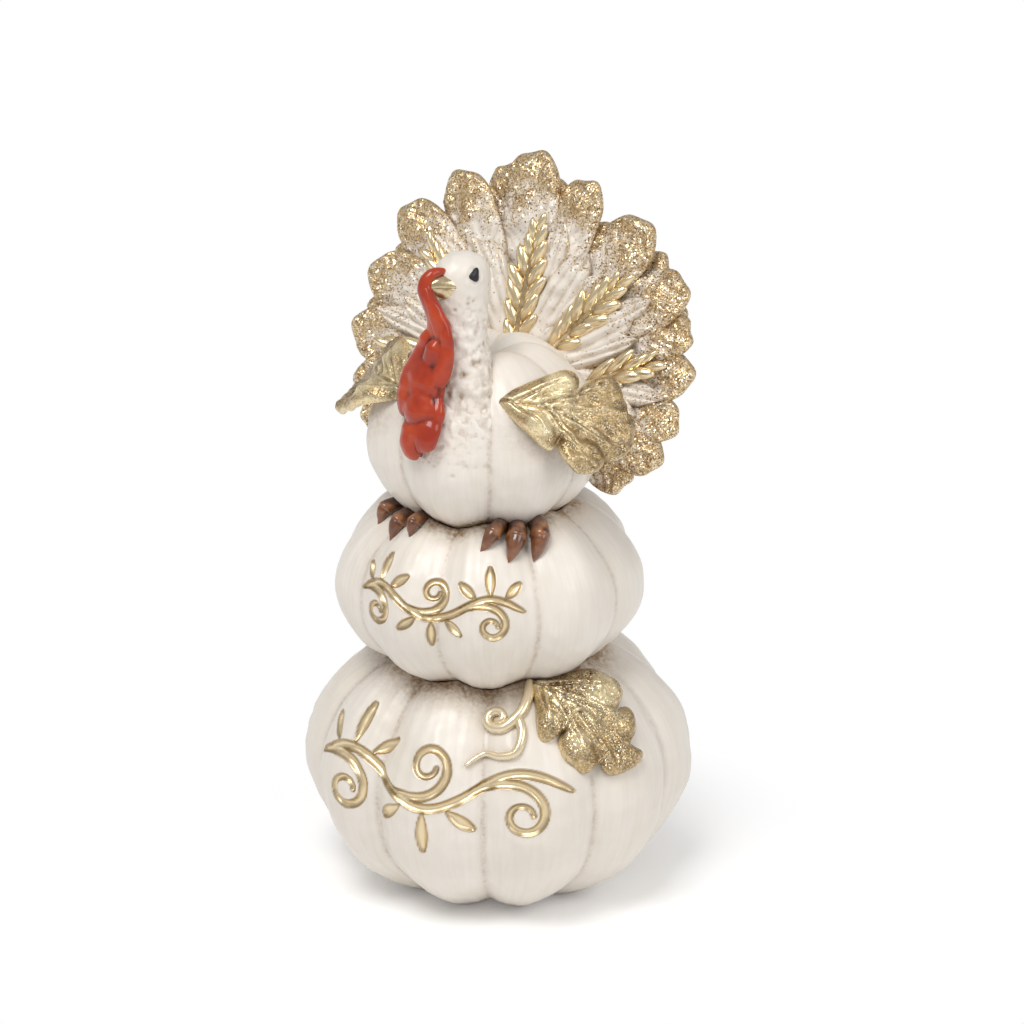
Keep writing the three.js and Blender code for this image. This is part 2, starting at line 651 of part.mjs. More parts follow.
// A toe that lies on the middle pumpkin, with a knuckle and a claw
function toeForm(rootAngle, tipAngle, tipRise) {
  const spots = 6;
  const points = [];
  for (let i = 0; i <= spots; i++) {
    const share = i / spots;
    const angle = THREE.MathUtils.lerp(rootAngle, tipAngle, share);
    const rise = THREE.MathUtils.lerp(TOE_ROOT_RISE, tipRise, share);
    points.push(pumpkinPoint(MIDDLE, angle, rise, TOE_RADIUS * 0.5 * (1 - share * share)));
  }
  const knuckle = (t) => 1 + KNUCKLE_SWELL * Math.cos(3 * Math.PI * t);
  const size = (t) => (t > 0 ? TOE_RADIUS * knuckle(t) * Math.sqrt(1 - t * t) : 0);
  return sweptForm(new THREE.CatmullRomCurve3(points), new THREE.Vector3(1, 0, 0), 8, 7, size, size);
}

function addFeet() {
  for (const [foot, sign] of [
    ["left", 1],
    ["right", -1],
  ]) {
    for (const [toe, rootAngle, tipAngle, tipRise] of TOES) {
      const form = toeForm(sign * rootAngle, sign * tipAngle, tipRise);
      addPiece(`${foot}_toe_${toe}`, form, BROWN, seat, [middleSeat, upperSeat]);
    }
  }
}

addLowerPumpkin();
addMiddlePumpkin();
addUpperPumpkin();
const neckSeat = addHead();
addWings(neckSeat);
addTail();
addVine();
addFeet();

export default figure;
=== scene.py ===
"""A turkey figure on three stacked pumpkins, cast in resin and painted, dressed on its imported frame."""
import math
from dataclasses import dataclass

import bpy
import numpy as np
from bpy.props import FloatProperty, FloatVectorProperty, IntProperty, PointerProperty
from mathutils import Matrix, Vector


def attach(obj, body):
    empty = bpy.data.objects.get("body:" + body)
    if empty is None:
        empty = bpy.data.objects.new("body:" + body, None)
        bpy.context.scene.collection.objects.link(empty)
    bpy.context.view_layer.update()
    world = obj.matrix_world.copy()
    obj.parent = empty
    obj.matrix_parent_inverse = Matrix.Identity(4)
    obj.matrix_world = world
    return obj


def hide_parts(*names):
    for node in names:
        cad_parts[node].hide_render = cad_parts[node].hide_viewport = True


bl_info = {
    "name": "Turkey Figure on Pumpkins",
    "version": (1, 0, 0),
    "blender": (4, 5, 0),
    "location": "3D View > Sidebar > Turkey",
    "description": "Dresses the packed turkey figure with its castings and paints, and sets its stage",
    "category": "Object",
}

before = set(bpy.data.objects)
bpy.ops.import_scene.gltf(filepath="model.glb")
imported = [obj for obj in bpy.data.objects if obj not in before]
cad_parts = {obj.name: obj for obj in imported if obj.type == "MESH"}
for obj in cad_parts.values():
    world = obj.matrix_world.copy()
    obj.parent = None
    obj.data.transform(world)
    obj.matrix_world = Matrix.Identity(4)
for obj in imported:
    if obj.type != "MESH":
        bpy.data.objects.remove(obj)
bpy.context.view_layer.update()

# All places and sizes are in millimetres: +Z up, the turkey faces -Y, and its left side is +X
MM = 0.001
TAU = 2 * math.pi


@dataclass(frozen=True)
class Pumpkin:
    """Centre, radius over the lobes, half height, number of lobes and bearing of one lobe from the front."""

    centre: tuple
    radius: float
    half: float
    lobes: int
    turn: float


LOWER = Pumpkin((0, 0, 29), 44.45, 33.5, 10, 0)
MIDDLE = Pumpkin((0, -5.2, 74.35), 34.95, 23.6, 9, 22.5)
UPPER = Pumpkin((0, -7.7, 110), 26.4, 22.7, 7, 0)
LOBE_DEPTH = 0.07
CREASE_SOFTNESS = 0.12
DIMPLE_DEPTH = 5
DIMPLE_SPREAD = 0.26
SHOULDER_FULLNESS = 0.93
SEAT_GAP = 0.25
SCROLL_WAVE = 18
POUR_HOLE_RADIUS = 9
POUR_HOLE_DEPTH = 4.6

# Neck and head: height, middle line from front to back, half width and half depth of each level
NECK_LEVELS = [
    (103.0, -25.6, 9.5, 4.6),
    (108.0, -26.0, 11.5, 6.4),
    (113.0, -26.0, 12.8, 7.6),
    (118.0, -25.4, 12.4, 7.7),
    (123.0, -24.2, 10.6, 6.9),
    (128.0, -22.6, 8.4, 6.2),
    (133.0, -21.2, 6.7, 5.8),
    (139.0, -20.1, 5.8, 5.8),
    (144.0, -19.6, 5.6, 6.5),
    (147.5, -19.4, 5.6, 7.0),
    (148.5, -19.4, 5.6, 7.0),
]
NECK_SIDEWAYS = -0.3
HEAD_PLACE = (0.0, -18, 149)
HEAD_TOP = 154.5
HEAD_TURN = math.radians(-22)
HEAD_RADIUS = 5.4
BEAK_LENGTH = 6.6
BEAK_WIDTH = 9.7
BEAK_UPPER_HEIGHT = 3.4
BEAK_LOWER_HEIGHT = -3.6
BEAK_ROOT = 4.6
BEAK_HOOK = 0.8
BEAK_DROP = 1.7
BEAK_LIFT = 1.5
EYE_RADIUS = 1.02
# Corners of an eye: angle from the back of the head upwards, reach beyond the radius, and spread in degrees
EYE_CORNERS = [(58, 0.85, 34), (184, 0.42, 36), (290, 0.40, 46)]
EYE_TURN = math.radians(79)
EYE_HEIGHT = 150.5
PEBBLE_SIZE = 0.75
NECK_BLEND = 3.5
NECK_SINK = 0.5

# Snood and wattle: sideways, front to back, height, half width and half depth at each spot
SNOOD_ROUTE = [
    (-1.6, -24.6, 151.6, 0.8, 0.8),
    (-3.9, -27.4, 151.2, 1.3, 1.2),
    (-5.0, -28.7, 148.4, 1.7, 1.5),
    (-2.8, -29.2, 143.9, 2.2, 1.8),
    (-1.4, -29.0, 139.4, 3.3, 2.1),
    (-2.4, -28.8, 134.2, 4.5, 2.3),
    (-4.1, -29.8, 128.0, 5.4, 2.3),
    (-4.2, -31.8, 121.4, 5.3, 2.1),
    (-3.8, -33.9, 116.0, 4.6, 1.9),
    (-3.5, -34.4, 111.4, 4.0, 1.7),
]
# Swellings of the wattle: side from -1 to 1, share of the length, half width, length above, below, and height
WATTLE_FOLDS = [
    (0.62, 0.380, 0.60, 0.160, 0.160, 0.5),
    (0.74, 0.580, 0.42, 0.220, 0.105, 1.7),
    (0.20, 0.525, 0.33, 0.060, 0.085, 1.8),
    (-0.55, 0.575, 0.60, 0.140, 0.150, 1.0),
    (-0.05, 0.665, 0.75, 0.120, 0.120, 1.3),
    (0.14, 0.655, 0.46, 0.090, 0.080, 1.6),
    (-0.66, 0.735, 0.58, 0.130, 0.068, 1.9),
    (0.12, 0.780, 0.56, 0.095, 0.058, 2.3),
    (0.80, 0.800, 0.50, 0.080, 0.140, 1.2),
    (0.10, 0.870, 1.00, 0.090, 0.200, 1.3),
    (-0.36, 0.925, 0.50, 0.110, 0.110, 1.6),
    (0.58, 0.905, 0.50, 0.110, 0.110, 1.6),
]
FOLD_BLEND = 2.6
WATTLE_NOTCH = 4.0

# Tail fan: hub, lean, and bearing, length share and half width of each feather
HUB = np.array([0, 14, 118])
LEAN = math.radians(18)
TAIL_REACH = 48.8
FRONT_FEATHERS = [
    (-131, 0.77, 6.0), (-116, 0.82, 5.8), (-101, 0.83, 6.0), (-84, 0.86, 7.4), (-63, 0.895, 7.8),
    (-43, 0.965, 6.8), (-25.5, 0.975, 6.5), (-2.5, 1.015, 7.0), (15, 0.935, 6.0), (36, 0.92, 7.3),
    (57, 0.91, 6.8), (71.5, 0.865, 5.6), (86.5, 0.85, 6.2), (101, 0.83, 5.8), (115.5, 0.825, 5.6),
    (129, 0.76, 5.2),
]
BACK_FEATHERS = [
    (-74, 0.84, 6.5), (-54, 0.86, 6.5), (-35, 0.85, 6.5), (-13, 0.965, 5.2), (6, 0.89, 6.0), (25, 0.79, 5.5),
    (47.5, 0.865, 5.6), (64, 0.84, 5.5),
]
INNER_BEARINGS = (-104, -66, -23, 24, 66, 104)
INNER_LENGTH = 31
# Blades of one tuft of inner feathers: turn, length share, width share and depth in front of the fan
TUFT_BLADES = [(-11, 1.16, 0.80, 2.6), (10, 0.96, 0.72, 3.0), (0, 1, 1, 3.5)]
FEATHER_SCALLOP = 0.45
FEATHER_ROW_GAP = 0.3
INNER_HALF_WIDTH = 4.0
# Seeds of the random shapes: that of the first piece in a row, and one more for each next piece
FRONT_SEED = 60
BACK_SEED = 100
INNER_SEED = 140
EAR_SEED = 160
# Wheat ears: bearing, distance of the foot from the hub, length, and sideways lean along the ear
WHEAT_EARS = [
    (-88, 14, 17, 0), (-46, 9, 27, 0.10), (2, 4.5, 31, 0.05), (49, 9, 24.5, -0.14), (86, 17.5, 15, -0.36),
]
EAR_DEPTH_PLACE = 4.5
GRAIN_LENGTH = 7.9
GRAIN_HALF_WIDTH = 1.95

# Leaves: the two edges as places along and across from the stalk; puffed lobes as along, across, radius
# and height; veins as the place where they leave the midrib and the place where they end; and the notches
WING_EDGES = (
    [(0, 0.3), (2.7, 3.9), (8.8, 8.8), (11.2, 10.7), (13.2, 11.1), (15.0, 10.0), (15.7, 7.4), (16.8, 9.4),
     (19.6, 12.4), (22.8, 13.3), (25.0, 12.2), (26.2, 9.8), (27.4, 8.6), (28.0, 6.7), (29.7, 6.4),
     (31.0, 3.8), (31.3, 1.2)],
    [(0, -0.3), (4.8, -4.6), (8.6, -7.0), (11.3, -8.2), (13.2, -7.9), (14.1, -5.8), (15.0, -7.6),
     (16.8, -9.6), (19.4, -10.6), (22.0, -10.5), (24.3, -9.0), (25.4, -6.8), (25.9, -5.0), (27.6, -4.9),
     (29.6, -3.4), (30.9, -0.8), (31.3, 1.2)],
)
WING_LOBES = [
    (10.5, 6.2, 4.6, 1.6), (21.2, 8.0, 5.4, 0.6), (26.6, 3.2, 4.4, 0.4), (20.0, -5.8, 5.0, 0.8),
    (8.6, -4.0, 3.8, 1.8), (27.4, -1.6, 3.6, 0.4),
]
WING_VEINS = [
    ((3, 0.4), (13.2, 9.6)), ((8, 0.9), (23.0, 11.0)), ((11, 0.9), (28.0, 6.2)), ((0, 0), (30.5, 0.6)),
    ((9, 0.6), (23.2, -8.6)), ((2, 0), (12.2, -6.8)), ((14, 0.8), (28.6, -2.6)),
]
WING_NOTCHES = [(15.7, 7.4), (27.0, 8.0), (14.1, -5.8), (25.9, -5.0)]
# The right wing's low side is one broad lobe
RIGHT_WING_LOW_EDGE = [
    (0, 0.3), (3.6, 4.8), (7.4, 7.8), (11.6, 9.3), (15.8, 9.9), (19.8, 9.9), (23.0, 9.0), (25.4, 7.2),
    (27.2, 5.2), (29.4, 2.9), (30.9, 0.6), (31.3, -1.2),
]
VINE_LEAF_EDGES = (
    [(0, 0.4), (2.8, 4.4), (5.9, 8.6), (8.3, 11.1), (11.6, 12.8), (14.7, 13.2), (17.0, 12.5), (18.0, 10.6),
     (18.5, 8.8), (19.5, 10.0), (21.0, 10.4), (23.1, 9.6), (25.0, 7.6), (25.7, 4.9), (27.2, 4.6),
     (29.2, 5.0), (30.3, 3.6)],
    [(0, -0.4), (3.8, -4.5), (6.6, -8.0), (8.4, -9.7), (10.0, -10.0), (11.3, -8.4), (11.8, -5.0),
     (12.6, -7.2), (14.4, -8.8), (16.5, -9.5), (18.9, -9.2), (21.4, -8.8), (22.5, -7.2), (22.9, -4.4),
     (24.3, -4.9), (26.2, -4.6), (27.9, -2.9), (29.6, 0.4), (30.3, 3.6)],
)
VINE_LEAF_LOBES = [
    (12.6, 8.0, 5.4, 1.8), (21.0, 6.0, 4.6, 0.9), (26.0, 1.4, 4.0, 0.6), (16.4, -5.0, 4.8, 1.3),
    (7.0, -5.0, 4.2, 1.1),
]
VINE_LEAF_VEINS = [
    ((2, 0.4), (14.5, 11.2)), ((7, 0.6), (23.0, 8.0)), ((0, 0), (29.6, 3.2)), ((6, 0), (21.0, -7.2)),
    ((2, -0.3), (9.6, -8.4)), ((12, 0.6), (26.6, -2.8)),
]
VINE_LEAF_NOTCHES = [(18.5, 8.8), (25.7, 4.9), (11.8, -5.0), (22.9, -4.4)]
WING_ROOT_BEARING = 34
WING_ROOT_RISE = 38
WING_STAND = 3.0
# Painted shadow on the body under a wing: a line between two places, as bearing and height angle in degrees
WING_SHADE = ((42, 20), (76, -8))
LEFT_WING_LINE = (28, 17.6, -15.2)
LEFT_WING_FACE = (0.6, -0.55, 0.58)
LEFT_WING_FOLD = 0.12
RIGHT_WING_LINE = (-21.2, 21.6, -8.0)
RIGHT_WING_FACE = (-0.52, -0.36, 0.76)
RIGHT_WING_FOLD = 0.24
# Radius that a leaf is bent to; a very large one leaves it straight
LEFT_WING_BEND = 1e6
RIGHT_WING_BEND = 80
VINE_LEAF_ROOT = (39, 53, 4.2)
VINE_LEAF_TIP = (68, 10, 7.6)
VINE_LEAF_BEND = 65
VINE_LEAF_FOLD = 0.05
# Reach of the painted shade near a leaf's stalk, in millimetres
WING_STALK_SHADE = 4
VINE_LEAF_STALK_SHADE = 15
WING_SPARKLE = 0.62
VINE_LEAF_SPARKLE = 0.86

# Vine on the lower pumpkin and toes on the middle one, as bearing and height angle in degrees
VINE_RADIUS = 1.15
STRAND_SIDES = 24
CURL_RADIUS = 3.0
CURL_END_RADIUS = 0.55
CURL_TURNS = 1.25
CURL_PLACE = (22.5, 42.5)
CURL_STEM = [(38.5, 56), (35.7, 50), (31.6, 44)]
VINE_TAIL = [(30.6, 41.5), (31, 36), (28.4, 29.6), (23.5, 28.2), (18, 29), (12, 24.2)]
LEFT_TOES = {"inner": (30, 18.7, 42, 2.0), "middle": (41, 31.5, 36, 2.4), "outer": (54, 44, 35.5, 2.3)}
RIGHT_TOES = {"inner": (-22, -20.5, 44, 1.6), "middle": (-36, -33, 38.5, 1.85), "outer": (-51, -49, 42, 1.75)}
TOE_ROOT_RISE = 56

# Camera: view of the figure from its left front, and the stage
VIEW_BEARING = math.radians(22.5)
VIEW_RISE = math.radians(20)
VIEW_DISTANCE = 900
VIEW_TARGET = (3.0, 1.24, 88.03)
CAMERA_LENS = 139.6
CAMERA_SENSOR = 36
# Lamps: place from the target towards the camera, to the right and up, in metres; width; and power in watts
KEY_LAMP = ((0.60, -0.31, 0.90), 0.60, 9.6)
FILL_LAMP = ((0.60, 0.90, 0.45), 0.60, 3.4)
SKY = 0.44
FLOOR_HALF = 3.0
FLOOR_GLOW = 0.14
FLOOR_FADE = (0.036, 0.088)


class TurkeySizes(bpy.types.PropertyGroup):
    """Sizes of the castings' details."""

    lobe_depth: FloatProperty(
        name="Lobe Depth", description="Depth of the creases between lobes, as a share of the radius",
        default=LOBE_DEPTH, min=0.0, max=0.2, subtype="FACTOR",
    )
    groove_depth: FloatProperty(
        name="Scroll Depth", description="Depth of the engraved scrolls", default=0.0009, unit="LENGTH",
    )
    feather_thickness: FloatProperty(
        name="Feather Thickness", description="Thickness of a tail feather at its middle line",
        default=0.0022, unit="LENGTH",
    )
    blade_thickness: FloatProperty(
        name="Leaf Thickness", description="Thickness of the wings and the vine leaf",
        default=0.0018, unit="LENGTH",
    )
    grain_rows: IntProperty(
        name="Grain Rows", description="Pairs of grains on the longest wheat ear", default=6, min=3, max=16,
    )
    neck_pits: IntProperty(
        name="Neck Pits", description="Number of pits pressed into the neck", default=150, min=0, max=600,
    )


def colour_property(name, description, colour):
    """A colour that can be changed in the sidebar."""
    return FloatVectorProperty(name=name, description=description, default=colour, size=3, min=0, max=1,
                               subtype="COLOR")


class TurkeyPaints(bpy.types.PropertyGroup):
    """Colours of the paints."""

    cream: colour_property("Cream", "Cream paint of the pumpkins, neck and feathers", (0.82, 0.76, 0.685))
    # The wash colour also serves as painted shade on the cream castings
    wash: colour_property("Wash", "Brown wash left in the hollows", (0.30, 0.19, 0.10))
    gold: colour_property("Gold", "Gold paint of the ears, beak and scrolls", (0.86, 0.71, 0.46))
    pale_gold: colour_property("Pale Gold", "Gold paint worn thin on the vine", (0.80, 0.69, 0.50))
    # Deep gold also serves as painted shade under the vine and the wheat grains
    deep_gold: colour_property("Deep Gold", "Gold paint in hollows and along rims", (0.33, 0.22, 0.095))
    # The pale and dark flake colours are painted glints and painted shade
    glitter_pale: colour_property("Pale Glitter", "Flakes that catch the light", (0.98, 0.91, 0.77))
    glitter_dark: colour_property("Dark Glitter", "Flakes that face away", (0.23, 0.125, 0.05))
    red: colour_property("Red", "Red paint of the snood and wattle", (0.45, 0.048, 0.012))
    brown: colour_property("Brown", "Brown paint of the toes", (0.075, 0.024, 0.010))
    orange: colour_property("Orange", "Orange rubbed on the edges of the claws", (0.32, 0.13, 0.045))
    black: colour_property("Black", "Paint of the eyes", (0.012, 0.013, 0.018))
    rubber: colour_property("Rubber", "Plug of the pour hole", (0.62, 0.59, 0.54))
    floor: colour_property("Floor", "Plain floor under the figure", (0.98, 0.98, 0.98))


def smooth(value, low, high):
    """0 below low, 1 above high and an even S curve between them."""
    t = np.clip((value - low) / (high - low), 0, 1)
    return t * t * (3 - 2 * t)


def bump(value, width):
    """A soft round bump: 1 at nothing, falling away over a width."""
    return np.exp(-((value / width) ** 2))


def unit(vectors):
    """Vectors of length 1."""
    vectors = np.asarray(vectors, float)
    return vectors / np.maximum(np.linalg.norm(vectors, axis=-1, keepdims=True), 1e-9)


def lumps(points, size, seed, waves=16):
    """Soft random relief from about -1 to 1: a sum of sine waves of about one size in seeded directions."""
    random = np.random.default_rng(seed)
    directions = unit(random.normal(size=(waves, 3)))
    rates = TAU / (size * random.uniform(0.7, 1.6, waves))
    phases = random.uniform(0, TAU, waves)
    return np.sin(points @ (directions * rates[:, None]).T + phases).sum(-1) * math.sqrt(1 / waves)


def spline(spots, count):
    """A Catmull-Rom curve through spots, as an array of count points."""
    spots = np.asarray(spots, float)
    padded = np.vstack([2 * spots[0] - spots[1], spots, 2 * spots[-1] - spots[-2]])
    place = np.linspace(0, len(spots) - 1, count)
    low = np.minimum(place.astype(int), len(spots) - 2)
    t = (place - low)[:, None]
    a, b, c, d = (padded[low + k] for k in range(4))
    return 0.5 * (2 * b + (c - a) * t + (2 * a - 5 * b + 4 * c - d) * t**2 + (3 * b - a - 3 * c + d) * t**3)


def crowded(low, high, count, middle, spread, crowd):
    """Values from low to high that lie closer together within a spread of the middle."""
    even = np.linspace(low, high, 4000)
    density = 1 + crowd * np.exp(-(((even - middle) / spread) ** 8))
    total = np.concatenate([[0], np.cumsum((density[1:] + density[:-1]) / 2)])
    return np.interp(np.linspace(0, total[-1], count), total, even)


def grid_normals(grid, wraps):
    """Unit normals of a grid of points, from the differences between neighbours."""
    along = np.gradient(grid, axis=0)
    across = np.roll(grid, -1, 1) - np.roll(grid, 1, 1) if wraps else np.gradient(grid, axis=1)
    return unit(np.cross(across, along))


@dataclass
class Form:
    """A closed surface: points, faces as lists of point numbers, and values painted on the points."""

    points: np.ndarray
    faces: list
    fields: dict


def tube_form(grid, **fields):
    """Closes a grid that wraps round in its columns: each end row becomes one point."""
    rows, columns = grid.shape[:2]
    first = (np.arange(rows - 2) * columns)[:, None]
    j = np.arange(columns)
    k = (j + 1) % columns
    ring = first[:-1]
    quads = np.stack([ring + j, ring + k, ring + columns + k, ring + columns + j], -1).reshape(-1, 4)
    count = (rows - 2) * columns
    low = np.stack([np.full(columns, count), k, j], -1)
    top = first[-1]
    high = np.stack([np.full(columns, count + 1), top + j, top + k], -1)

    def flat(values):
        return np.concatenate([values[1:-1].reshape(count, -1), values[:1].mean(1), values[-1:].mean(1)])

    def flat_field(values):
        values = np.broadcast_to(values, grid.shape[:2])
        return np.concatenate([values[1:-1].ravel(), [values[0].mean(), values[-1].mean()]])

    painted = {name: flat(v) if np.ndim(v) == 3 else flat_field(v) for name, v in fields.items()}
    return Form(flat(grid), quads.tolist() + low.tolist() + high.tolist(), painted)


def sheet_form(front, back, **fields):
    """Closes two grids over each other: they share the points of their border, taken from the front one."""
    rows, columns = front.shape[:2]
    numbers = np.arange(rows * columns).reshape(rows, columns)
    inner = rows * columns + np.arange((rows - 2) * (columns - 2)).reshape(rows - 2, columns - 2)
    behind = numbers.copy()
    behind[1:-1, 1:-1] = inner

    def quads(n):
        return np.stack([n[:-1, :-1], n[:-1, 1:], n[1:, 1:], n[1:, :-1]], -1).reshape(-1, 4)

    points = np.concatenate([front.reshape(-1, 3), back[1:-1, 1:-1].reshape(-1, 3)])
    faces = quads(numbers).tolist() + quads(behind)[:, ::-1].tolist()
    painted = {}
    for name, values in fields.items():
        values = np.broadcast_to(values, (rows, columns))
        painted[name] = np.concatenate([values.ravel(), values[1:-1, 1:-1].ravel()])
    return Form(points, faces, painted)


def joined(forms):
    """Several forms as one."""
    starts = np.cumsum([0] + [len(form.points) for form in forms[:-1]])
    faces = [[n + int(start) for n in face] for form, start in zip(forms, starts) for face in form.faces]
    fields = {name: np.concatenate([form.fields[name] for form in forms]) for name in forms[0].fields}
    return Form(np.concatenate([form.points for form in forms]), faces, fields)


def faces_outward(form):
    """True where the volume that the form's faces enclose is positive."""
    halves = [face[:3] for face in form.faces]
    halves += [[face[0], face[2], face[3]] for face in form.faces if len(face) == 4]
    corners = np.array(halves)
    a, b, c = (form.points[corners[:, k]] for k in range(3))
    return np.einsum("ij,ij->", a, np.cross(b, c)) > 0


def add_piece(context, form, node, slot):
    """Makes a form an object that stands for a node of the frame and wears the paint of a slot."""
    name = "cast_" + node
    faces = form.faces if faces_outward(form) else [face[::-1] for face in form.faces]
    mesh = bpy.data.meshes.new(name)
    mesh.from_pydata((form.points * MM).tolist(), [], faces)
    mesh.polygons.foreach_set("use_smooth", np.ones(len(faces), bool))
    for field, values in form.fields.items():
        kind, key = ("FLOAT_VECTOR", "vector") if values.ndim == 2 else ("FLOAT", "value")
        attribute = mesh.attributes.new(field, kind, "POINT")
        attribute.data.foreach_set(key, np.ascontiguousarray(values, np.float32).ravel())
    mesh.materials.append(paint(context, slot))
    mesh.update()
    piece = bpy.data.objects.new(name, mesh)
    context.scene.collection.objects.link(piece)
    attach(piece, "root")
    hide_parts(node)


# Pumpkins

def pumpkin_pinch(pumpkin, bearing, tilt, depth):
    """How far a pumpkin is drawn in between its lobes, as a share of its radius, and its crease."""
    wave = np.cos(pumpkin.lobes * (bearing - math.radians(pumpkin.turn)) / 2)
    soft = CREASE_SOFTNESS
    ridge = (np.hypot(wave, soft) - soft) / (math.hypot(1, soft) - soft)
    return 1 - depth * (1 - ridge) * np.sqrt(np.clip(np.cos(tilt), 0, 1)), 1 - ridge


def pumpkin_surface(pumpkin, bearing, tilt, depth):
    """An ellipsoid pinched between its lobes, full in the shoulders and dimpled on top.

    Its points are given by a bearing and a height angle."""
    pinch, crease = pumpkin_pinch(pumpkin, bearing, tilt, depth)
    fullness = np.where(tilt > 0, SHOULDER_FULLNESS, 1)
    out = pumpkin.radius * np.clip(np.cos(tilt), 0, 1) ** fullness * pinch
    dimple = np.where(tilt > 0, DIMPLE_DEPTH * bump(out, pumpkin.radius * DIMPLE_SPREAD), 0)
    up = pumpkin.half * np.sin(tilt) * pinch - dimple
    points = np.stack([out * np.sin(bearing), -out * np.cos(bearing), up], -1)
    return points + np.array(pumpkin.centre), crease


def on_pumpkin(pumpkin, bearing, rise, stand, depth=LOBE_DEPTH):
    """A point that stands clear of a pumpkin, at a bearing and height angle in degrees."""
    grown = Pumpkin(pumpkin.centre, pumpkin.radius + stand, pumpkin.half + stand, pumpkin.lobes, pumpkin.turn)
    return pumpkin_surface(grown, np.radians(bearing), np.radians(rise), depth)[0]


def height_over(points, pumpkin, depth, top):
    """Height of points over the top of a pumpkin, or of its underside over them; large outside its edge."""
    local = points - np.array(pumpkin.centre)
    bearing = np.arctan2(local[..., 0], -local[..., 1])
    out = np.hypot(local[..., 0], local[..., 1])
    pinch = 1.0
    fullness = SHOULDER_FULLNESS if top else 1
    for _ in range(3):
        tilt = np.arccos(np.clip(out / (pumpkin.radius * pinch), 0, 1) ** (1 / fullness))
        pinch = pumpkin_pinch(pumpkin, bearing, tilt, depth)[0]
    edge = pumpkin.half * np.sin(tilt) * pinch
    gap = local[..., 2] - edge if top else -edge - local[..., 2]
    return np.where(out < pumpkin.radius * pinch, gap, 1000.0)


def scroll(start, heading, length, bend, tight, power, wide):
    """A stroke whose curve tightens along it from bend to tight, in degrees for each millimetre.

    The stroke swells to its full half width near its start and thins into the curl."""
    t = np.linspace(0, 1, max(8, int(length / 0.25)))
    step = length / (len(t) - 1)
    turn = np.radians(bend + (tight - bend) * t**power)
    angle = math.radians(heading) + np.concatenate([[0], np.cumsum(turn[:-1] * step)])
    x = start[0] + np.concatenate([[0], np.cumsum(np.cos(angle[:-1]) * step)])
    y = start[1] + np.concatenate([[0], np.cumsum(np.sin(angle[:-1]) * step)])
    return np.stack([x, y, wide * (0.6 + 0.4 * np.sin(math.pi * t**0.6))], -1)


def drop(start, heading, length, wide):
    """A short stroke with a round thick end, like a petal or a seed."""
    t = np.linspace(0, 1, 16)
    angle = math.radians(heading)
    x = start[0] + math.cos(angle) * length * t
    y = start[1] + math.sin(angle) * length * t
    return np.stack([x, y, wide * (0.2 + 0.8 * np.sin(math.pi * (0.1 + 0.72 * t)) ** 1.3)], -1)


def flourish(size, wide, leafless=()):
    """Strokes of a running vine scroll: a wavy stem, a curl inside each wave and leaves outside it.

    The strokes are in millimetres across and up from the middle, each with its half widths;
    the waves named as leafless have no leaves."""
    wave = SCROLL_WAVE
    swing = 3.6
    x = np.linspace(-1.55 * wave, 1.55 * wave, 260)
    thin = np.sqrt(np.clip(1 - (np.abs(x) / (1.56 * wave)) ** 8, 0, 1))
    stem = np.stack([x, -swing * np.cos(math.pi * x / wave), wide * (0.25 + 0.75 * thin) / size], -1)
    strokes = [stem]
    for middle, sign in ((-wave, -1), (0, 1), (wave, -1)):
        start = (middle - wave / 2, 0)
        strokes.append(scroll(start, -28 * sign, 33, 3.0 * sign, 30 * sign, 1.35, wide / size))
        fan = () if middle in leafless else ((-52, 5.6), (0, 7.2), (52, 5.6))
        for lean, long in fan:
            foot = (middle + 0.09 * lean, -sign * (swing + 1.2 - 0.016 * abs(lean)))
            strokes.append(drop(foot, -sign * (90 - lean), long, 1.25 * wide / size))
    return [stroke * size for stroke in strokes]


def engraving(points, pumpkin, strokes, rise, depth):
    """Depth of round grooves under strokes laid on a pumpkin, and how gilded and rimmed each point is."""
    groove, gilt, rim = (np.zeros(points.shape[:2]) for _ in range(3))
    slope = math.radians(rise)
    across = pumpkin.radius * math.cos(slope)
    upward = math.hypot(pumpkin.radius * math.sin(slope), pumpkin.half * math.cos(slope))
    for stroke in strokes:
        bearing = stroke[:, 0] / across
        tilt = slope + stroke[:, 1] / upward
        path = pumpkin_surface(pumpkin, bearing, tilt, depth)[0]
        wide = stroke[:, 2]
        margin = wide.max() + 2
        near = np.all((points > path.min(0) - margin) & (points < path.max(0) + margin), -1)
        if not near.any():
            continue
        distance = np.linalg.norm(points[near][:, None] - path[None], axis=-1) - wide
        nearest = distance.argmin(1)
        edge = distance[np.arange(len(nearest)), nearest]
        inside = np.clip(-edge / wide[nearest], 0, 1)
        cut = np.minimum(1, wide[nearest]) * (1 - (1 - inside) ** 2)
        groove[near] = np.maximum(groove[near], cut)
        gilt[near] = np.maximum(gilt[near], smooth(-edge, -0.16, 0.12))
        rim[near] = np.maximum(rim[near], bump(edge, 0.4))
    return groove, gilt, rim * (groove < 0.75)


def pits(points, normals, centres, radii, depths):
    """Moves points inwards by round pits, and tells how deep in a pit each one lies."""
    sunk = np.zeros(points.shape[:2])
    for centre, radius, depth in zip(centres, radii, depths):
        distance = np.linalg.norm(points - centre, axis=-1)
        sunk = np.maximum(sunk, depth * bump(distance, radius))
    return points - normals * sunk[..., None], np.clip(sunk / 0.35, 0, 1)


def brush_lines(bearing, tilt):
    """A place on a pumpkin that runs round with the bearing and up with the height angle, for brush marks."""
    return np.stack([np.sin(bearing), -np.cos(bearing), tilt], -1)


def crease_wash_and_shade(crease):
    """Wash in the creases of a pumpkin: a thin line, with a faint broad edge of painted shade."""
    return 0.12 * smooth(crease, 0.85, 1.0) + 0.26 * smooth(crease, 0.955, 1.0)


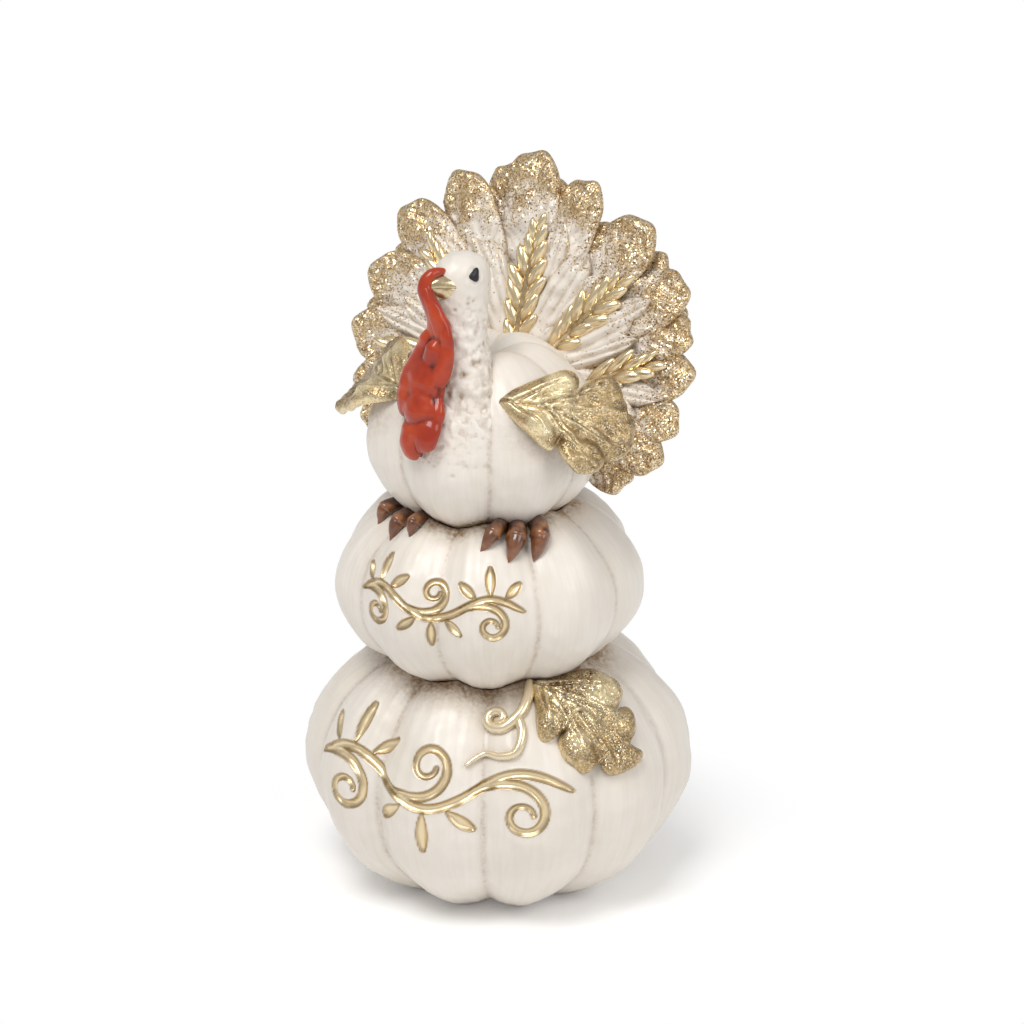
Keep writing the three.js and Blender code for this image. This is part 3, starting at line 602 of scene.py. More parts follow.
def seat_wash_and_shadow(gap, reach):
    """Wash and painted shadow round a seat: strong within a reach of the touching pumpkin, and faint beyond
    it.
    """
    clear = np.maximum(gap, 0)
    return 0.85 * bump(clear, reach) + 0.38 * bump(clear, 2.4 * reach)


def carve_pumpkin(pumpkin, bearing, tilt, sizes, seed):
    """The plain surface of a pumpkin with slight ribs and lumps, its crease field and its brush lines."""
    points, crease = pumpkin_surface(pumpkin, bearing, tilt, sizes.lobe_depth)
    normals = grid_normals(points, True)
    ribs = 0.10 * np.sin(bearing * pumpkin.lobes * 3 + 1.3) + 0.05 * np.sin(bearing * pumpkin.lobes * 7)
    uneven = 0.30 * lumps(points, 16, seed) + 0.06 * lumps(points, 3.5, seed + 1)
    fade = np.clip(np.cos(tilt), 0, 1)
    points = points + normals * ((ribs + uneven) * fade)[..., None]
    return points, normals, crease, brush_lines(bearing, tilt)


def lower_pumpkin_form(sizes):
    """Lower pumpkin: a pocket for the plug, a flat underside, sides with scrolls, and the seat on top."""
    bearings = crowded(-math.pi, math.pi, 381, 0, math.radians(62), 2.6)[:-1]
    tilts = crowded(math.radians(-76), math.radians(89.5), 226, math.radians(16), math.radians(40), 1.7)
    tilt, bearing = np.meshgrid(tilts, bearings, indexing="ij")
    points, normals, crease, grain = carve_pumpkin(LOWER, bearing, tilt, sizes, 3)
    groove, gilt, rim = engraving(points, LOWER, flourish(1.24, 1.25, (SCROLL_WAVE,)), 14, sizes.lobe_depth)
    depth = sizes.groove_depth / MM
    points = points - normals * (groove * depth - 0.14 * rim)[..., None]
    gap = height_over(points, MIDDLE, sizes.lobe_depth, False) - SEAT_GAP
    points[..., 2] += np.minimum(gap, 0)
    rounding = 0.35 * np.exp(-np.abs(points[..., 2]) / 0.6) * (tilt > -1.0)
    points[..., 2] = np.maximum(points[..., 2], 0) + rounding
    hollow = np.clip(crease_wash_and_shade(crease) + seat_wash_and_shadow(gap, 3.6), 0, 1)
    # Painted shade: darker within a couple of millimetres of the floor, where the base meets it
    hollow = np.maximum(hollow, 0.8 * bump(points[..., 2], 2.0) * (tilt > -1.1))
    radii = np.array([0.02, 0.5, 1.0, 1.0, 1.0, 1.02, 1.05]) * POUR_HOLE_RADIUS
    heights = np.array([1.0, 1.0, 1.0, 0.6, 0.12, 0.03, 0.0]) * POUR_HOLE_DEPTH
    pocket = np.stack([radii[:, None] * np.sin(bearings), -radii[:, None] * np.cos(bearings),
                       heights[:, None] + 0 * bearings], -1)
    none = np.zeros(pocket.shape[:2])
    grid = np.concatenate([pocket, points])
    return tube_form(
        grid,
        hollow=np.concatenate([none + 0.25, hollow]),
        gilt=np.concatenate([none, gilt]),
        rim=np.concatenate([none, rim]),
        grain=np.concatenate([brush_lines(none + bearings, none - 1.4), grain]),
    )


def middle_pumpkin_form(sizes):
    """Middle pumpkin: a whole pumpkin with scrolls on its front and the seat of the upper one."""
    bearings = crowded(-math.pi, math.pi, 351, 0, math.radians(52), 2.8)[:-1]
    tilts = crowded(math.radians(-89.5), math.radians(89.5), 201, math.radians(12), math.radians(42), 1.7)
    tilt, bearing = np.meshgrid(tilts, bearings, indexing="ij")
    points, normals, crease, grain = carve_pumpkin(MIDDLE, bearing, tilt, sizes, 11)
    groove, gilt, rim = engraving(points, MIDDLE, flourish(0.78, 1.0), 11, sizes.lobe_depth)
    depth = sizes.groove_depth / MM
    points = points - normals * (groove * depth - 0.14 * rim)[..., None]
    gap = height_over(points, UPPER, sizes.lobe_depth, False) - SEAT_GAP
    points[..., 2] += np.minimum(gap, 0)
    under = height_over(points, LOWER, sizes.lobe_depth, True)
    hollow = crease_wash_and_shade(crease) + seat_wash_and_shadow(gap, 3.0) + seat_wash_and_shadow(under, 1.4)
    return tube_form(points, hollow=np.clip(hollow, 0, 1), gilt=gilt, rim=rim, grain=grain)


def upper_pumpkin_form(sizes):
    """Upper pumpkin, the turkey's body, with a few pits that run on from the neck over the breast."""
    bearings = crowded(-math.pi, math.pi, 321, 0, math.radians(34), 2.6)[:-1]
    tilts = crowded(math.radians(-89.5), math.radians(89.5), 191, math.radians(14), math.radians(32), 1.6)
    tilt, bearing = np.meshgrid(tilts, bearings, indexing="ij")
    points, normals, crease, grain = carve_pumpkin(UPPER, bearing, tilt, sizes, 21)
    breast = bump(bearing - math.radians(4), math.radians(17))
    breast = breast * smooth(tilt, math.radians(-8), math.radians(22))
    skin = 0.12 * lumps(points, 2.4, 22) + 0.06 * lumps(points, 1.4, 23)
    points = points + normals * (breast * skin)[..., None]
    count = 80
    random = np.random.default_rng(5)
    spots = np.stack([random.normal(5, 12, count), random.normal(11, 9, count)], -1)
    centres = on_pumpkin(UPPER, spots[:, 0], spots[:, 1], 0)
    radii = 0.30 + 0.45 * random.random(count) ** 2
    points, sunk = pits(points, normals, centres, radii, radii * random.uniform(0.35, 0.7, count))
    under = height_over(points, MIDDLE, sizes.lobe_depth, True)
    # Painted shadow on the body under each wing
    wing, _ = beside(np.abs(np.degrees(bearing)), np.degrees(tilt), *WING_SHADE)
    hollow = crease_wash_and_shade(crease) + seat_wash_and_shadow(under, 1.6) + 0.25 * sunk + 0.30 * bump(wing, 11)
    none = np.zeros(points.shape[:2])
    return tube_form(points, hollow=np.clip(hollow, 0, 1), gilt=none, rim=none, grain=grain)


# Neck, head, beak and eyes

def neck_section(height):
    """Middle line, half width and half depth of the neck at a height, with a round crown over the head."""
    levels = np.array(NECK_LEVELS)
    fine = spline(levels, 400)
    over = np.clip((height - levels[-1, 0]) / (HEAD_TOP - levels[-1, 0]), 0, 1)
    crown = (1 - over**2.2) ** (1 / 2.2)
    foot = np.sqrt(np.clip((height - levels[0, 0]) / 4, 0, 1))
    middle, wide, deep = (np.interp(height, fine[:, 0], fine[:, k]) for k in (1, 2, 3))
    return middle, wide * crown * foot, deep * crown * foot


def neck_surface(height, turn):
    """Level rings round the neck's leaning middle line, turned towards the right at the head."""
    middle, wide, deep = neck_section(height)
    twist = HEAD_TURN * smooth(height, 130, 147)
    x = wide * np.sin(turn)
    y = -deep * np.cos(turn)
    return np.stack([NECK_SIDEWAYS + x * np.cos(twist) - y * np.sin(twist),
                     middle + x * np.sin(twist) + y * np.cos(twist), height + 0 * x], -1)


def outside(points, pumpkin, depth):
    """How far points lie outside a pumpkin, measured level from its middle line."""
    local = points - np.array(pumpkin.centre)
    bearing = np.arctan2(local[..., 0], -local[..., 1])
    pinch = 1.0
    for _ in range(3):
        tilt = np.arcsin(np.clip(local[..., 2] / (pumpkin.half * pinch), -1, 1))
        pinch = pumpkin_pinch(pumpkin, bearing, tilt, depth)[0]
    fullness = np.where(tilt > 0, SHOULDER_FULLNESS, 1)
    return np.hypot(local[..., 0], local[..., 1]) - pumpkin.radius * np.cos(tilt) ** fullness * pinch


def pebbles(points, count, size, seed):
    """Closely set round bumps: 1 at the nearest of some seeded spots and nothing a size away from it."""
    flat = points.reshape(-1, 3).astype(np.float32)
    spots = flat[np.random.default_rng(seed).integers(0, len(flat), count)]
    squares = (flat**2).sum(1)[:, None] - 2 * flat @ spots.T + (spots**2).sum(1)[None]
    return np.clip(1 - squares.min(1).reshape(points.shape[:2]) / size**2, 0, 1)


def neck_form(sizes):
    """Neck and head: rings that ease into the breast, with lids, pebbled skin below the eyes, and pits."""
    low, high = NECK_LEVELS[0][0], HEAD_TOP
    heights = low + (high - low) * np.sin(np.linspace(0, 1, 230) * math.pi / 2) ** 0.9
    around = np.linspace(0, TAU, 161)[:-1]
    height, turn = np.meshgrid(heights, around, indexing="ij")
    points = neck_surface(height, turn)
    clear = outside(points, UPPER, sizes.lobe_depth)
    level = unit((points - np.array(UPPER.centre)) * np.array([1, 1, 0]))
    near = 1 - smooth(clear, 0, NECK_BLEND)
    points = points - level * ((np.maximum(clear, 0) + NECK_SINK) * near)[..., None]
    normals = grid_normals(points, True)
    lids = np.zeros(points.shape[:2])
    for sign in (1, -1):
        distance = np.linalg.norm(points - neck_surface(np.array(EYE_HEIGHT), sign * EYE_TURN), axis=-1)
        lids += 0.07 * bump(distance - 2.3, 0.5) - 0.10 * bump(distance - 1.7, 0.4)
    rough = smooth(151.0 - height, 0, 14)
    foot = smooth(clear, 0.2, 3)
    cells = pebbles(points, 1900, PEBBLE_SIZE, 33)
    skin = 0.29 * cells * (0.65 + 0.35 * lumps(points, 5, 30)) + 0.18 * lumps(points, 2.6, 31)
    faint = 0.05 * lumps(points, 2.0, 32)
    points = points + normals * (lids + faint + rough * foot * skin)[..., None]
    random = np.random.default_rng(8)
    count = sizes.neck_pits
    rows = random.integers(25, 150, count)
    columns = random.integers(0, len(around), count)
    centres = points[rows, columns]
    radii = 0.25 + 0.60 * random.random(count) ** 2
    points, sunk = pits(points, normals, centres, radii, radii * random.uniform(0.6, 1.1, count))
    # Painted shade: darker on the side next to the wattle, and between the pebbles
    shaded = 0.24 * smooth(-np.sin(turn - 0.5), 0.0, 0.9) + 0.28 * (1 - smooth(cells, 0.0, 0.45))
    hollow = 0.60 * sunk + shaded * rough + np.clip(-1.2 * lids, 0, 0.3)
    none = np.zeros(points.shape[:2])
    grain = brush_lines(turn, height / 40)
    return tube_form(points, hollow=np.clip(hollow, 0, 1), gilt=none, rim=none, grain=grain)


def in_head(local):
    """Points of the head's own frame, which faces -Y, in the figure's frame."""
    turn = np.array([[math.cos(HEAD_TURN), -math.sin(HEAD_TURN), 0],
                     [math.sin(HEAD_TURN), math.cos(HEAD_TURN), 0], [0, 0, 1]])
    return local @ turn.T + np.array(HEAD_PLACE)


def beak_form(height):
    """Half of the beak: half-round rings that shrink to the tip; a negative height gives the lower half."""
    along = np.sin(np.linspace(0, 1, 34) * math.pi / 2)
    around = np.linspace(0, TAU, 49)[:-1]
    rise, turn = np.meshgrid(along, around, indexing="ij")
    upper = height > 0
    reach = 1 if upper else 0.93
    tall = np.sqrt(np.clip(1 - rise**1.7, 0, 1)) * np.sign(np.arange(len(along)))[:, None]
    broad = np.clip(1 - rise**1.25, 0, 1) ** 0.75 * np.sign(tall)
    seam = BEAK_LIFT * rise - BEAK_DROP - BEAK_HOOK * rise**5 * upper
    tucked = 1 - 0.04 * (1 - np.abs(np.sin(turn))) ** 4
    x = reach * broad * tucked * np.cos(turn) * BEAK_WIDTH / 2
    full = np.where(np.sin(turn) > 0, np.abs(np.sin(turn)) ** 0.95, 0.06 * np.sin(turn))
    z = seam + np.sign(height) * (0.10 + tall * full * abs(height))
    y = -BEAK_ROOT - reach * rise * (HEAD_RADIUS - BEAK_ROOT + BEAK_LENGTH)
    points = in_head(np.stack([x, y, z], -1))
    points = points + 0.03 * lumps(points, 1.8, 41)[..., None]
    return tube_form(points, hollow=np.clip(0.42 + bump(z - seam, 0.30), 0, 1))


def eye_form(sign):
    """An eye: a low dome with three rounded corners, set on the side of the head."""
    rings = np.linspace(0.02, 1, 14)
    around = np.linspace(0, TAU, 41)[:-1]
    ring, turn = np.meshgrid(rings, around, indexing="ij")
    edge = EYE_RADIUS + 0 * turn
    for angle, reach, spread in EYE_CORNERS:
        away = np.mod(np.degrees(turn) - angle + 180, 360) - 180
        edge = edge + reach * bump(away, spread)
    out = np.concatenate([ring * edge, edge[:1] * 0.9, edge[:1] * 0.02])
    dome = np.concatenate([0.50 * np.sqrt(1 - 0.97 * ring**2), -0.5 + 0 * ring[:1], -0.9 + 0 * ring[:1]])
    turn = np.concatenate([turn, turn[:2]])
    spot = np.array(EYE_HEIGHT)
    centre = neck_surface(spot, sign * EYE_TURN)
    back = unit(neck_surface(spot, sign * (EYE_TURN + 0.05)) - centre)
    up = unit(neck_surface(spot + 0.1, sign * EYE_TURN) - centre)
    facing = sign * np.cross(back, up)
    return tube_form(centre + (out * np.cos(turn))[..., None] * back + (out * np.sin(turn))[..., None] * up
                     + dome[..., None] * facing)


def softened(field, times):
    """A field on a grid that wraps round in its columns, averaged with its neighbours a number of times."""
    for _ in range(times):
        above = np.vstack([field[:1], field[:-1]])
        below = np.vstack([field[1:], field[-1:]])
        field = (field + np.roll(field, 1, 1) + np.roll(field, -1, 1) + above + below) / 5
    return field


def snood_form():
    """Snood and wattle: rings carried along a route, with swellings over them and two lobes at the foot.

    Each swelling rises slowly from above and drops steeply below, and the highest counts most at each point,
    so that soft folds lap over each other with creases between them."""
    rows = 240
    route = spline(SNOOD_ROUTE, rows)
    centre, wide, deep = route[:, :3], route[:, 3], route[:, 4]
    t = np.linspace(0, 1, rows)
    ends = np.sqrt(np.clip(1 - np.abs(2 * t - 1) ** 22, 0, 1))
    along = unit(np.gradient(centre, axis=0))
    side = np.array([math.cos(HEAD_TURN), math.sin(HEAD_TURN), 0])
    behind = unit(np.cross(side, along))
    flank = unit(np.cross(along, behind))
    around = np.linspace(0, TAU, 161)[:-1]
    share, turn = np.meshgrid(t, around, indexing="ij")
    sway, lean = np.sin(turn), np.cos(turn)
    place = (np.mod(turn + math.pi, TAU) - math.pi) / (math.pi / 2)
    notch = WATTLE_NOTCH * bump(sway - 0.12, 0.22) * smooth(share, 0.80, 1.0)
    notch = np.maximum(notch, 2.0 * smooth(sway, 0.0, 0.5) * smooth(share, 0.75, 1.0))
    sideways = ((wide * ends)[:, None] * sway)[..., None] * flank[:, None]
    forwards = ((deep * ends)[:, None] * lean)[..., None] * behind[:, None]
    points = centre[:, None] + sideways - forwards - notch[..., None] * along[:, None]
    total = np.ones(points.shape[:2])
    for at, down, broad, above, below, height in WATTLE_FOLDS:
        drop_share = (share - down) / np.where(share < down, above, below)
        ball = np.clip(1 - ((place - at) / broad) ** 2 - drop_share**2, 0, 1)
        total = total + np.expm1(FOLD_BLEND * height * ball ** (0.55 + 0.6 * smooth(-drop_share, 0, 1)))
    raised = np.log(total) / FOLD_BLEND
    uneven = 0.10 * lumps(points, 3.5, 45) * smooth(share, 0.1, 0.4)
    points = points - grid_normals(points, True) * ((raised + uneven) * ends[:, None])[..., None]
    crease = smooth(softened(raised, 60) - raised, 0.02, 0.30)
    # Wash in the creases, and painted shade on the back, against the neck
    return tube_form(points, hollow=np.clip(crease + 0.35 * smooth(-lean, 0, 0.6), 0, 1))


# Leaves

def leaf_frame(root, line, face):
    """Stalk place, and the directions along, across and out of a leaf."""
    along = unit(line)
    across = unit(np.cross(face, along))
    return np.asarray(root, float), along, across, np.cross(along, across)


def flipped(plan):
    """A leaf's plan with its two sides changed over."""
    edges, lobes, veins, notches = plan
    turned = tuple([(x, -y) for x, y in edge] for edge in reversed(edges))
    return (turned, [(x, -y, radius, height) for x, y, radius, height in lobes],
            [((a, -b), (c, -d)) for (a, b), (c, d) in veins], [(x, -y) for x, y in notches])


def beside(x, y, start, end):
    """Distance of points from a straight line between two places, and how far along it they are."""
    start = np.array(start, float)
    line = np.array(end, float) - start
    share = np.clip(((x - start[0]) * line[0] + (y - start[1]) * line[1]) / (line @ line), 0, 1)
    return np.hypot(x - start[0] - share * line[0], y - start[1] - share * line[1]), share


def leaf_form(plan, place, fold, bend, thickness, shade_reach, sparkle, seed):
    """A leaf between two lobed edges, with puffed lobes, a dent at each notch and a turned-down edge.

    Each vein is a pair of soft ridges with a line between them, and ribs spread from the stalk. Near the
    stalk, as far as a given length, the leaf is darkened with painted shade where it meets the pumpkin.
    Raised places are paler, partly from wear and partly as a painted highlight. The sparkle tells how rough
    the glitter is."""
    edges, lobes, veins, notches = plan
    root, along, across, out = place
    high, low = (spline(edge, 240) for edge in edges)
    end = edges[0][-1][0]
    rows = np.linspace(0, 1, 141) * end
    upper = np.interp(rows, np.maximum.accumulate(high[:, 0]), high[:, 1])
    lower = np.interp(rows, np.maximum.accumulate(low[:, 0]), low[:, 1])
    v = np.sin(np.linspace(-1, 1, 85) * math.pi / 2)
    x = np.repeat(rows[:, None], len(v), 1)
    y = lower[:, None] + (upper - lower)[:, None] * (v[None] + 1) / 2
    inset = np.minimum(np.minimum(upper[:, None] - y, y - lower[:, None]) * 0.8, end - x)
    inner = smooth(inset, 0.3, 2)
    puff = sum(height * bump(np.hypot(x - a, y - b), radius) for a, b, radius, height in lobes)
    ridge = np.zeros(x.shape)
    line = np.zeros(x.shape)
    for start, tip in veins:
        distance, share = beside(x, y, start, tip)
        pair = bump(distance - 0.85 * (1 - share), 0.75 - 0.25 * share)
        ridge = np.maximum(ridge, pair * (1 - 0.7 * share))
        line = np.maximum(line, bump(distance, 0.36) * (1 - 0.8 * share))
    dent = np.zeros(x.shape)
    for notch in notches:
        distance, share = beside(x, y, notch, (notch[0] * 0.8, notch[1] * 0.6))
        dent = np.maximum(dent, bump(distance, 1.0) * (1 - 0.9 * share))
    turn = np.arctan2(y, x + 2)
    rib = np.sin(turn * 46 + 2.5 * np.sin(0.5 * x)) * inner * smooth(x, 8, 18)
    pleat = np.sin(turn * 15 + 0.8 * np.sin(0.25 * x)) * inner * smooth(x, 5, 13)
    flat = np.stack([x, y, 0 * x], -1)
    uneven = 0.24 * lumps(flat, 5, seed) + 0.05 * lumps(flat, 2.2, seed + 5)
    veined = 0.62 * ridge - 0.50 * line - 0.7 * dent
    relief = puff + veined + (0.22 * pleat + 0.13 * rib) * (1 - ridge) + uneven
    edge = np.sqrt(np.clip(1 - (1 - np.clip(inset / 1.1, 0, 1)) ** 2, 0, 1))
    lift = fold * np.abs(y) - (x**2 * 0.6 + y**2) / (2 * bend) + relief * (0.35 + 0.65 * edge)
    wavy = 0.45 * np.sin(0.9 * x + 1.1 * np.sign(y)) * (1 - smooth(inset, 0, 3)) * smooth(x, 8, 14)
    lift = lift + wavy - 0.6 * (1 - smooth(inset, 0, 2.0)) - 2.4 * (1 - smooth(x, 0, 8))
    body = thickness * (0.12 + 0.88 * edge)

    def placed(height):
        return root + x[..., None] * along + y[..., None] * across + height[..., None] * out

    # Painted shade near the stalk, where the leaf meets the pumpkin, heavier towards one edge
    stalk_shade = 1.4 * (1 - smooth(x, 0.3 * shade_reach, shade_reach)) * (1 - 0.45 * ridge)
    stalk_shade = stalk_shade * (0.35 + 0.65 * smooth(y, -1, 2))
    hollow = line + 0.25 * smooth(-rib, 0.3, 1) + 0.8 * dent + stalk_shade
    # Paler on raised places near the stalk: partly worn paint, partly a painted highlight that fades towards
    # the tip
    worn = np.maximum(0.8 * (1 - smooth(inset, 0.1, 0.9)), ridge)
    worn = np.maximum(worn, smooth(puff, 0.6, 1.3)) * (1 - 0.65 * smooth(x, 0.45 * end, 0.75 * end))
    return sheet_form(placed(lift + body / 2), placed(lift - body / 2 - 0.45 * np.maximum(relief, 0)),
                      hollow=np.clip(hollow, 0, 1), rim=np.clip(worn, 0, 1), sparkle=np.array(sparkle))


# Tail

def in_tail(across, along, depth, bearing):
    """Points of a feather in the fan's plane: across it, along it from the hub and in front of the plane."""
    turn = math.radians(bearing)
    x = across * math.cos(turn) + along * math.sin(turn)
    up = along * math.cos(turn) - across * math.sin(turn)
    return (HUB + x[..., None] * np.array([1, 0, 0])
            + up[..., None] * np.array([0, math.sin(LEAN), math.cos(LEAN)])
            + depth[..., None] * np.array([0, -math.cos(LEAN), math.sin(LEAN)]))


def feather_form(bearing, length, half, base, thickness, seed):
    """A feather from the hub: a blade that widens to its half width and ends in a rounded point.

    Its face is crowned and its edge rounded, with a shaft, slanted ridges towards the tip and fine lumps.
    One side stands a little higher than the other, so that feathers lap over each other."""
    random = np.random.default_rng(seed)
    phase = random.uniform(-1, 1, 5)
    v = np.sin(np.linspace(-1, 1, 57) * math.pi / 2)
    u = np.sin(np.linspace(0, 1, 92) * math.pi / 2)
    point = 2.3 + 0.35 * phase[2]
    scallop = FEATHER_SCALLOP * np.sin(5.5 * v + 3 * phase[0]) * (1 - v**4)
    tip = length - 1.35 * half * (1 - (1 - 0.995 * np.abs(v) ** point) ** 0.5) + scallop
    root = 3.0
    along = root + u[:, None] * (tip - root)[None]
    lane = half * (0.24 + 0.76 * smooth(along, 6, 0.64 * length))
    sideways = 0.9 * phase[3] * smooth(along, 0.5 * length, length)
    across = v[None] * lane + sideways
    inset = np.minimum((1 - np.abs(v))[None] * lane, (tip[None] - along) * 0.85)
    edge = np.sqrt(np.clip(1 - (1 - np.clip(inset / 1.9, 0, 1)) ** 2, 0, 1))
    outer = smooth(along, 0.5 * length, 0.8 * length)
    offset = np.abs(across - sideways)
    shaft = bump(offset, 0.6) * (1 - smooth(along, 0.75 * length, 0.95 * length))
    slant = along - 1.3 * offset + 0.6 * np.sin(0.6 * along + 4 * phase[4])
    ridges = np.sin(slant * TAU / 2.9 + 3 * phase[0]) * smooth(offset, 0.3, 1.6)
    flat = np.stack([across + 60 * phase[0], along, 0 * along], -1)
    lumpy = lumps(flat, 6, seed)
    hammered = 0.15 * ridges + 0.24 * lumps(flat, 2.2, seed + 300) * outer
    relief = (0.35 * shaft + hammered + 0.42 * lumpy * smooth(along, 8, 26)) * edge
    crown = np.sqrt(np.clip(1 - 0.95 * v**2, 0, 1))[None] * (0.4 + 0.6 * outer)
    lean = (0.18 + 0.06 * phase[1]) * across + 0.9 * phase[1] * smooth(along, 0.6 * length, length)
    middle = base + thickness / 2 + lean
    front = middle + thickness / 2 * edge + relief + crown * edge
    back = middle - thickness / 2 * edge + 0.3 * relief
    glitter = smooth(along / length + 0.06 * lumpy + 0.08 * (1 - edge), 0.57, 0.94)
    hollow = 0.5 * (1 - edge) * (1 - 0.5 * outer) + 0.45 * smooth(-ridges, 0.4, 1) * smooth(along, 12, 24)
    # Painted shade near the hub, where the feathers go in behind the body
    hollow = np.maximum(np.clip(hollow, 0, 1), 0.7 * (1 - smooth(along, 9, 18)))
    return sheet_form(in_tail(across, along, front, bearing), in_tail(across, along, back, bearing),
                      hollow=hollow, glitter=glitter)


def blade_form(bearing, length, half, base, seed):
    """A short plain feather: a pointed blade with a raised middle, grooves along it and a slight curl."""
    phase = np.random.default_rng(seed).uniform(-1, 1, 2)
    v = np.sin(np.linspace(-1, 1, 37) * math.pi / 2)
    u = np.sin(np.linspace(0, 1, 60) * math.pi / 2)
    root = 6
    along = root + u[:, None] * (length - root) * (1 - 0.20 * np.abs(v)[None] ** 1.5)
    share = (along - root) / (length - root)
    width = 0.35 + 0.80 * np.sin(math.pi * np.clip(share, 0, 1) ** 0.8 * 0.84)
    across = v[None] * half * width + 2.2 * phase[0] * share**2
    ridge = np.sqrt(np.clip(1 - 0.95 * v**2, 0, 1))[None]
    flat = np.stack([across + 40 * phase[1], along, 0 * along], -1)
    lines = np.cos(v * 3.5 * math.pi)[None] * smooth(share, 0.1, 0.4)
    front = base + 2.6 * ridge * (0.5 + 0.6 * share) + 0.25 * lumps(flat, 4.5, seed) + 0.30 * lines * ridge
    back = base - 0.3 + 0 * front
    hollow = np.clip(1.1 * smooth(np.abs(v), 0.72, 1)[None] + 0.55 * smooth(-lines, 0.4, 1), 0, 1)
    glitter = np.clip(0.35 * smooth(share, 0.6, 1.0) + 0.3 * smooth(np.abs(v), 0.85, 1)[None], 0, 1)
    return sheet_form(in_tail(across, along, front, bearing), in_tail(across, along, back, bearing),
                      hollow=hollow, glitter=glitter)


def inner_feather_form(bearing, length, seed):
    """A tuft of short plain feathers that lap over each other."""
    wander = np.random.default_rng(seed).uniform(-2, 2, len(TUFT_BLADES))
    blades = []
    for i, (turn, long, broad, base) in enumerate(TUFT_BLADES):
        half = INNER_HALF_WIDTH * broad
        blades.append(blade_form(bearing + turn + wander[i], length * long, half, base, seed + 20 * i))
    return joined(blades)


def ear_form(bearing, foot, length, lean, rows, seed):
    """A wheat ear: pointed grains that lean out in two rows along a stem and lap over each other."""
    random = np.random.default_rng(seed)
    share, turn = np.meshgrid(np.linspace(0, 1, 16), np.linspace(0, TAU, 15)[:-1], indexing="ij")
    plump = 1.75 * share**0.6 * (1 - share) ** 0.62
    keel = 1 + 0.22 * np.maximum(0, np.sin(turn)) ** 6
    # Painted shade at the foot of each grain, where it laps under its neighbours, and on its back towards the
    # fan
    hollow = np.clip(0.85 * (1 - smooth(share, 0.10, 0.42)) + 0.7 * (np.sin(turn) < -0.1), 0, 1)
    forms = []
    for i in range(2 * rows + 2):
        row, side = divmod(i, 2)
        sign = 1 if side else -1
        place = foot + length * 0.76 * (row + 0.45 * side) / rows
        swell = math.sin(math.pi * min(1, (row + 1.2) / (rows + 1.4)))
        size = 0.74 + 0.36 * swell + random.uniform(-0.06, 0.06)
        spread = math.radians(22 - 14 * max(0, row - rows + 3) / 3 + random.uniform(-6, 6))
        long = GRAIN_LENGTH * size
        wide = GRAIN_HALF_WIDTH * size * plump
        inward = wide * np.cos(turn)
        x = sign * (0.45 + inward * math.cos(spread) + long * share * math.sin(spread) + 0.5 * share**3)
        z = long * share * math.cos(spread) - inward * math.sin(spread)
        depth = 0.82 * wide * np.sin(turn) * keel + 1.5 * share - 0.5 * share**2
        sway = lean * (place + z - foot - length / 2)
        grain = in_tail(x + sway, place + z, EAR_DEPTH_PLACE + depth, bearing)
        forms.append(tube_form(grain, hollow=hollow))
    stem_share, stem_turn = np.meshgrid(np.linspace(0, 1, 24), np.linspace(0, TAU, 13)[:-1], indexing="ij")
    thick = 1.1 * np.sqrt(np.clip(1 - np.abs(2 * stem_share - 1) ** 12, 0, 1))
    stem_place = foot - 3 + stem_share * (length * 0.84 + 3)
    stem = in_tail(thick * np.cos(stem_turn) + lean * (stem_place - foot - length / 2), stem_place,
                   EAR_DEPTH_PLACE + thick * np.sin(stem_turn), bearing)
    # Painted shade on the stem, which lies under the grains
    forms.append(tube_form(stem, hollow=0.7 + 0 * stem_share))
    return joined(forms)


# Vine and toes

def strand_form(centre, radius, away, flatten=1.0):
    """A round strand: rings of a changing radius carried along a line, with the outward direction given."""
    along = unit(np.gradient(centre, axis=0))
    side = unit(np.cross(along, away))
    out = np.cross(side, along)
    around = np.linspace(0, TAU, STRAND_SIDES + 1)[:-1]
    cosine = np.cos(around)[None, :, None]
    sine = np.sin(around)[None, :, None]
    ring = cosine * side[:, None] + flatten * sine * out[:, None]
    points = centre[:, None] + radius[:, None, None] * ring
    # Painted shade on the underside of the strand, against the pumpkin
    hollow = np.clip(-np.sin(around), 0, 1)[None] * np.ones((len(centre), 1))
    return tube_form(points, hollow=hollow)


def vine_form(route, thin_start, thin_end):
    """A strand that lies on the lower pumpkin along a route of bearings and height angles."""
    plan = spline(route, 150)
    t = np.linspace(0, 1, len(plan))
    ends = np.sqrt(np.clip(1 - np.abs(2 * t - 1) ** 40, 0, 1))
    radius = VINE_RADIUS * (1 + (thin_start - 1) * (1 - t) ** 2 + (thin_end - 1) * t**2) * ends
    centre = on_pumpkin(LOWER, plan[:, 0], plan[:, 1], VINE_RADIUS * 0.75)
    form = strand_form(centre, radius, unit(centre - np.array(LOWER.centre)))
    form.fields["worn"] = 0.65 * (1 - smooth(form.fields["hollow"], 0, 0.3))
    return form


def curl_route():
    """The stem of the curl, then a spiral that closes in, in degrees on the pumpkin."""
    across = math.radians(LOWER.radius * math.cos(math.radians(CURL_PLACE[1])))
    upward = math.radians(math.hypot(LOWER.radius, LOWER.half) * math.sqrt(0.5))
    share = np.linspace(0, 1, 14)
    radius = CURL_RADIUS + (CURL_END_RADIUS - CURL_RADIUS) * share
    around = -share * CURL_TURNS * TAU - math.pi / 5
    spiral = np.stack([CURL_PLACE[0] + radius * np.cos(around) / across,
                       CURL_PLACE[1] + radius * np.sin(around) / upward], -1)
    return np.vstack([CURL_STEM, spiral])


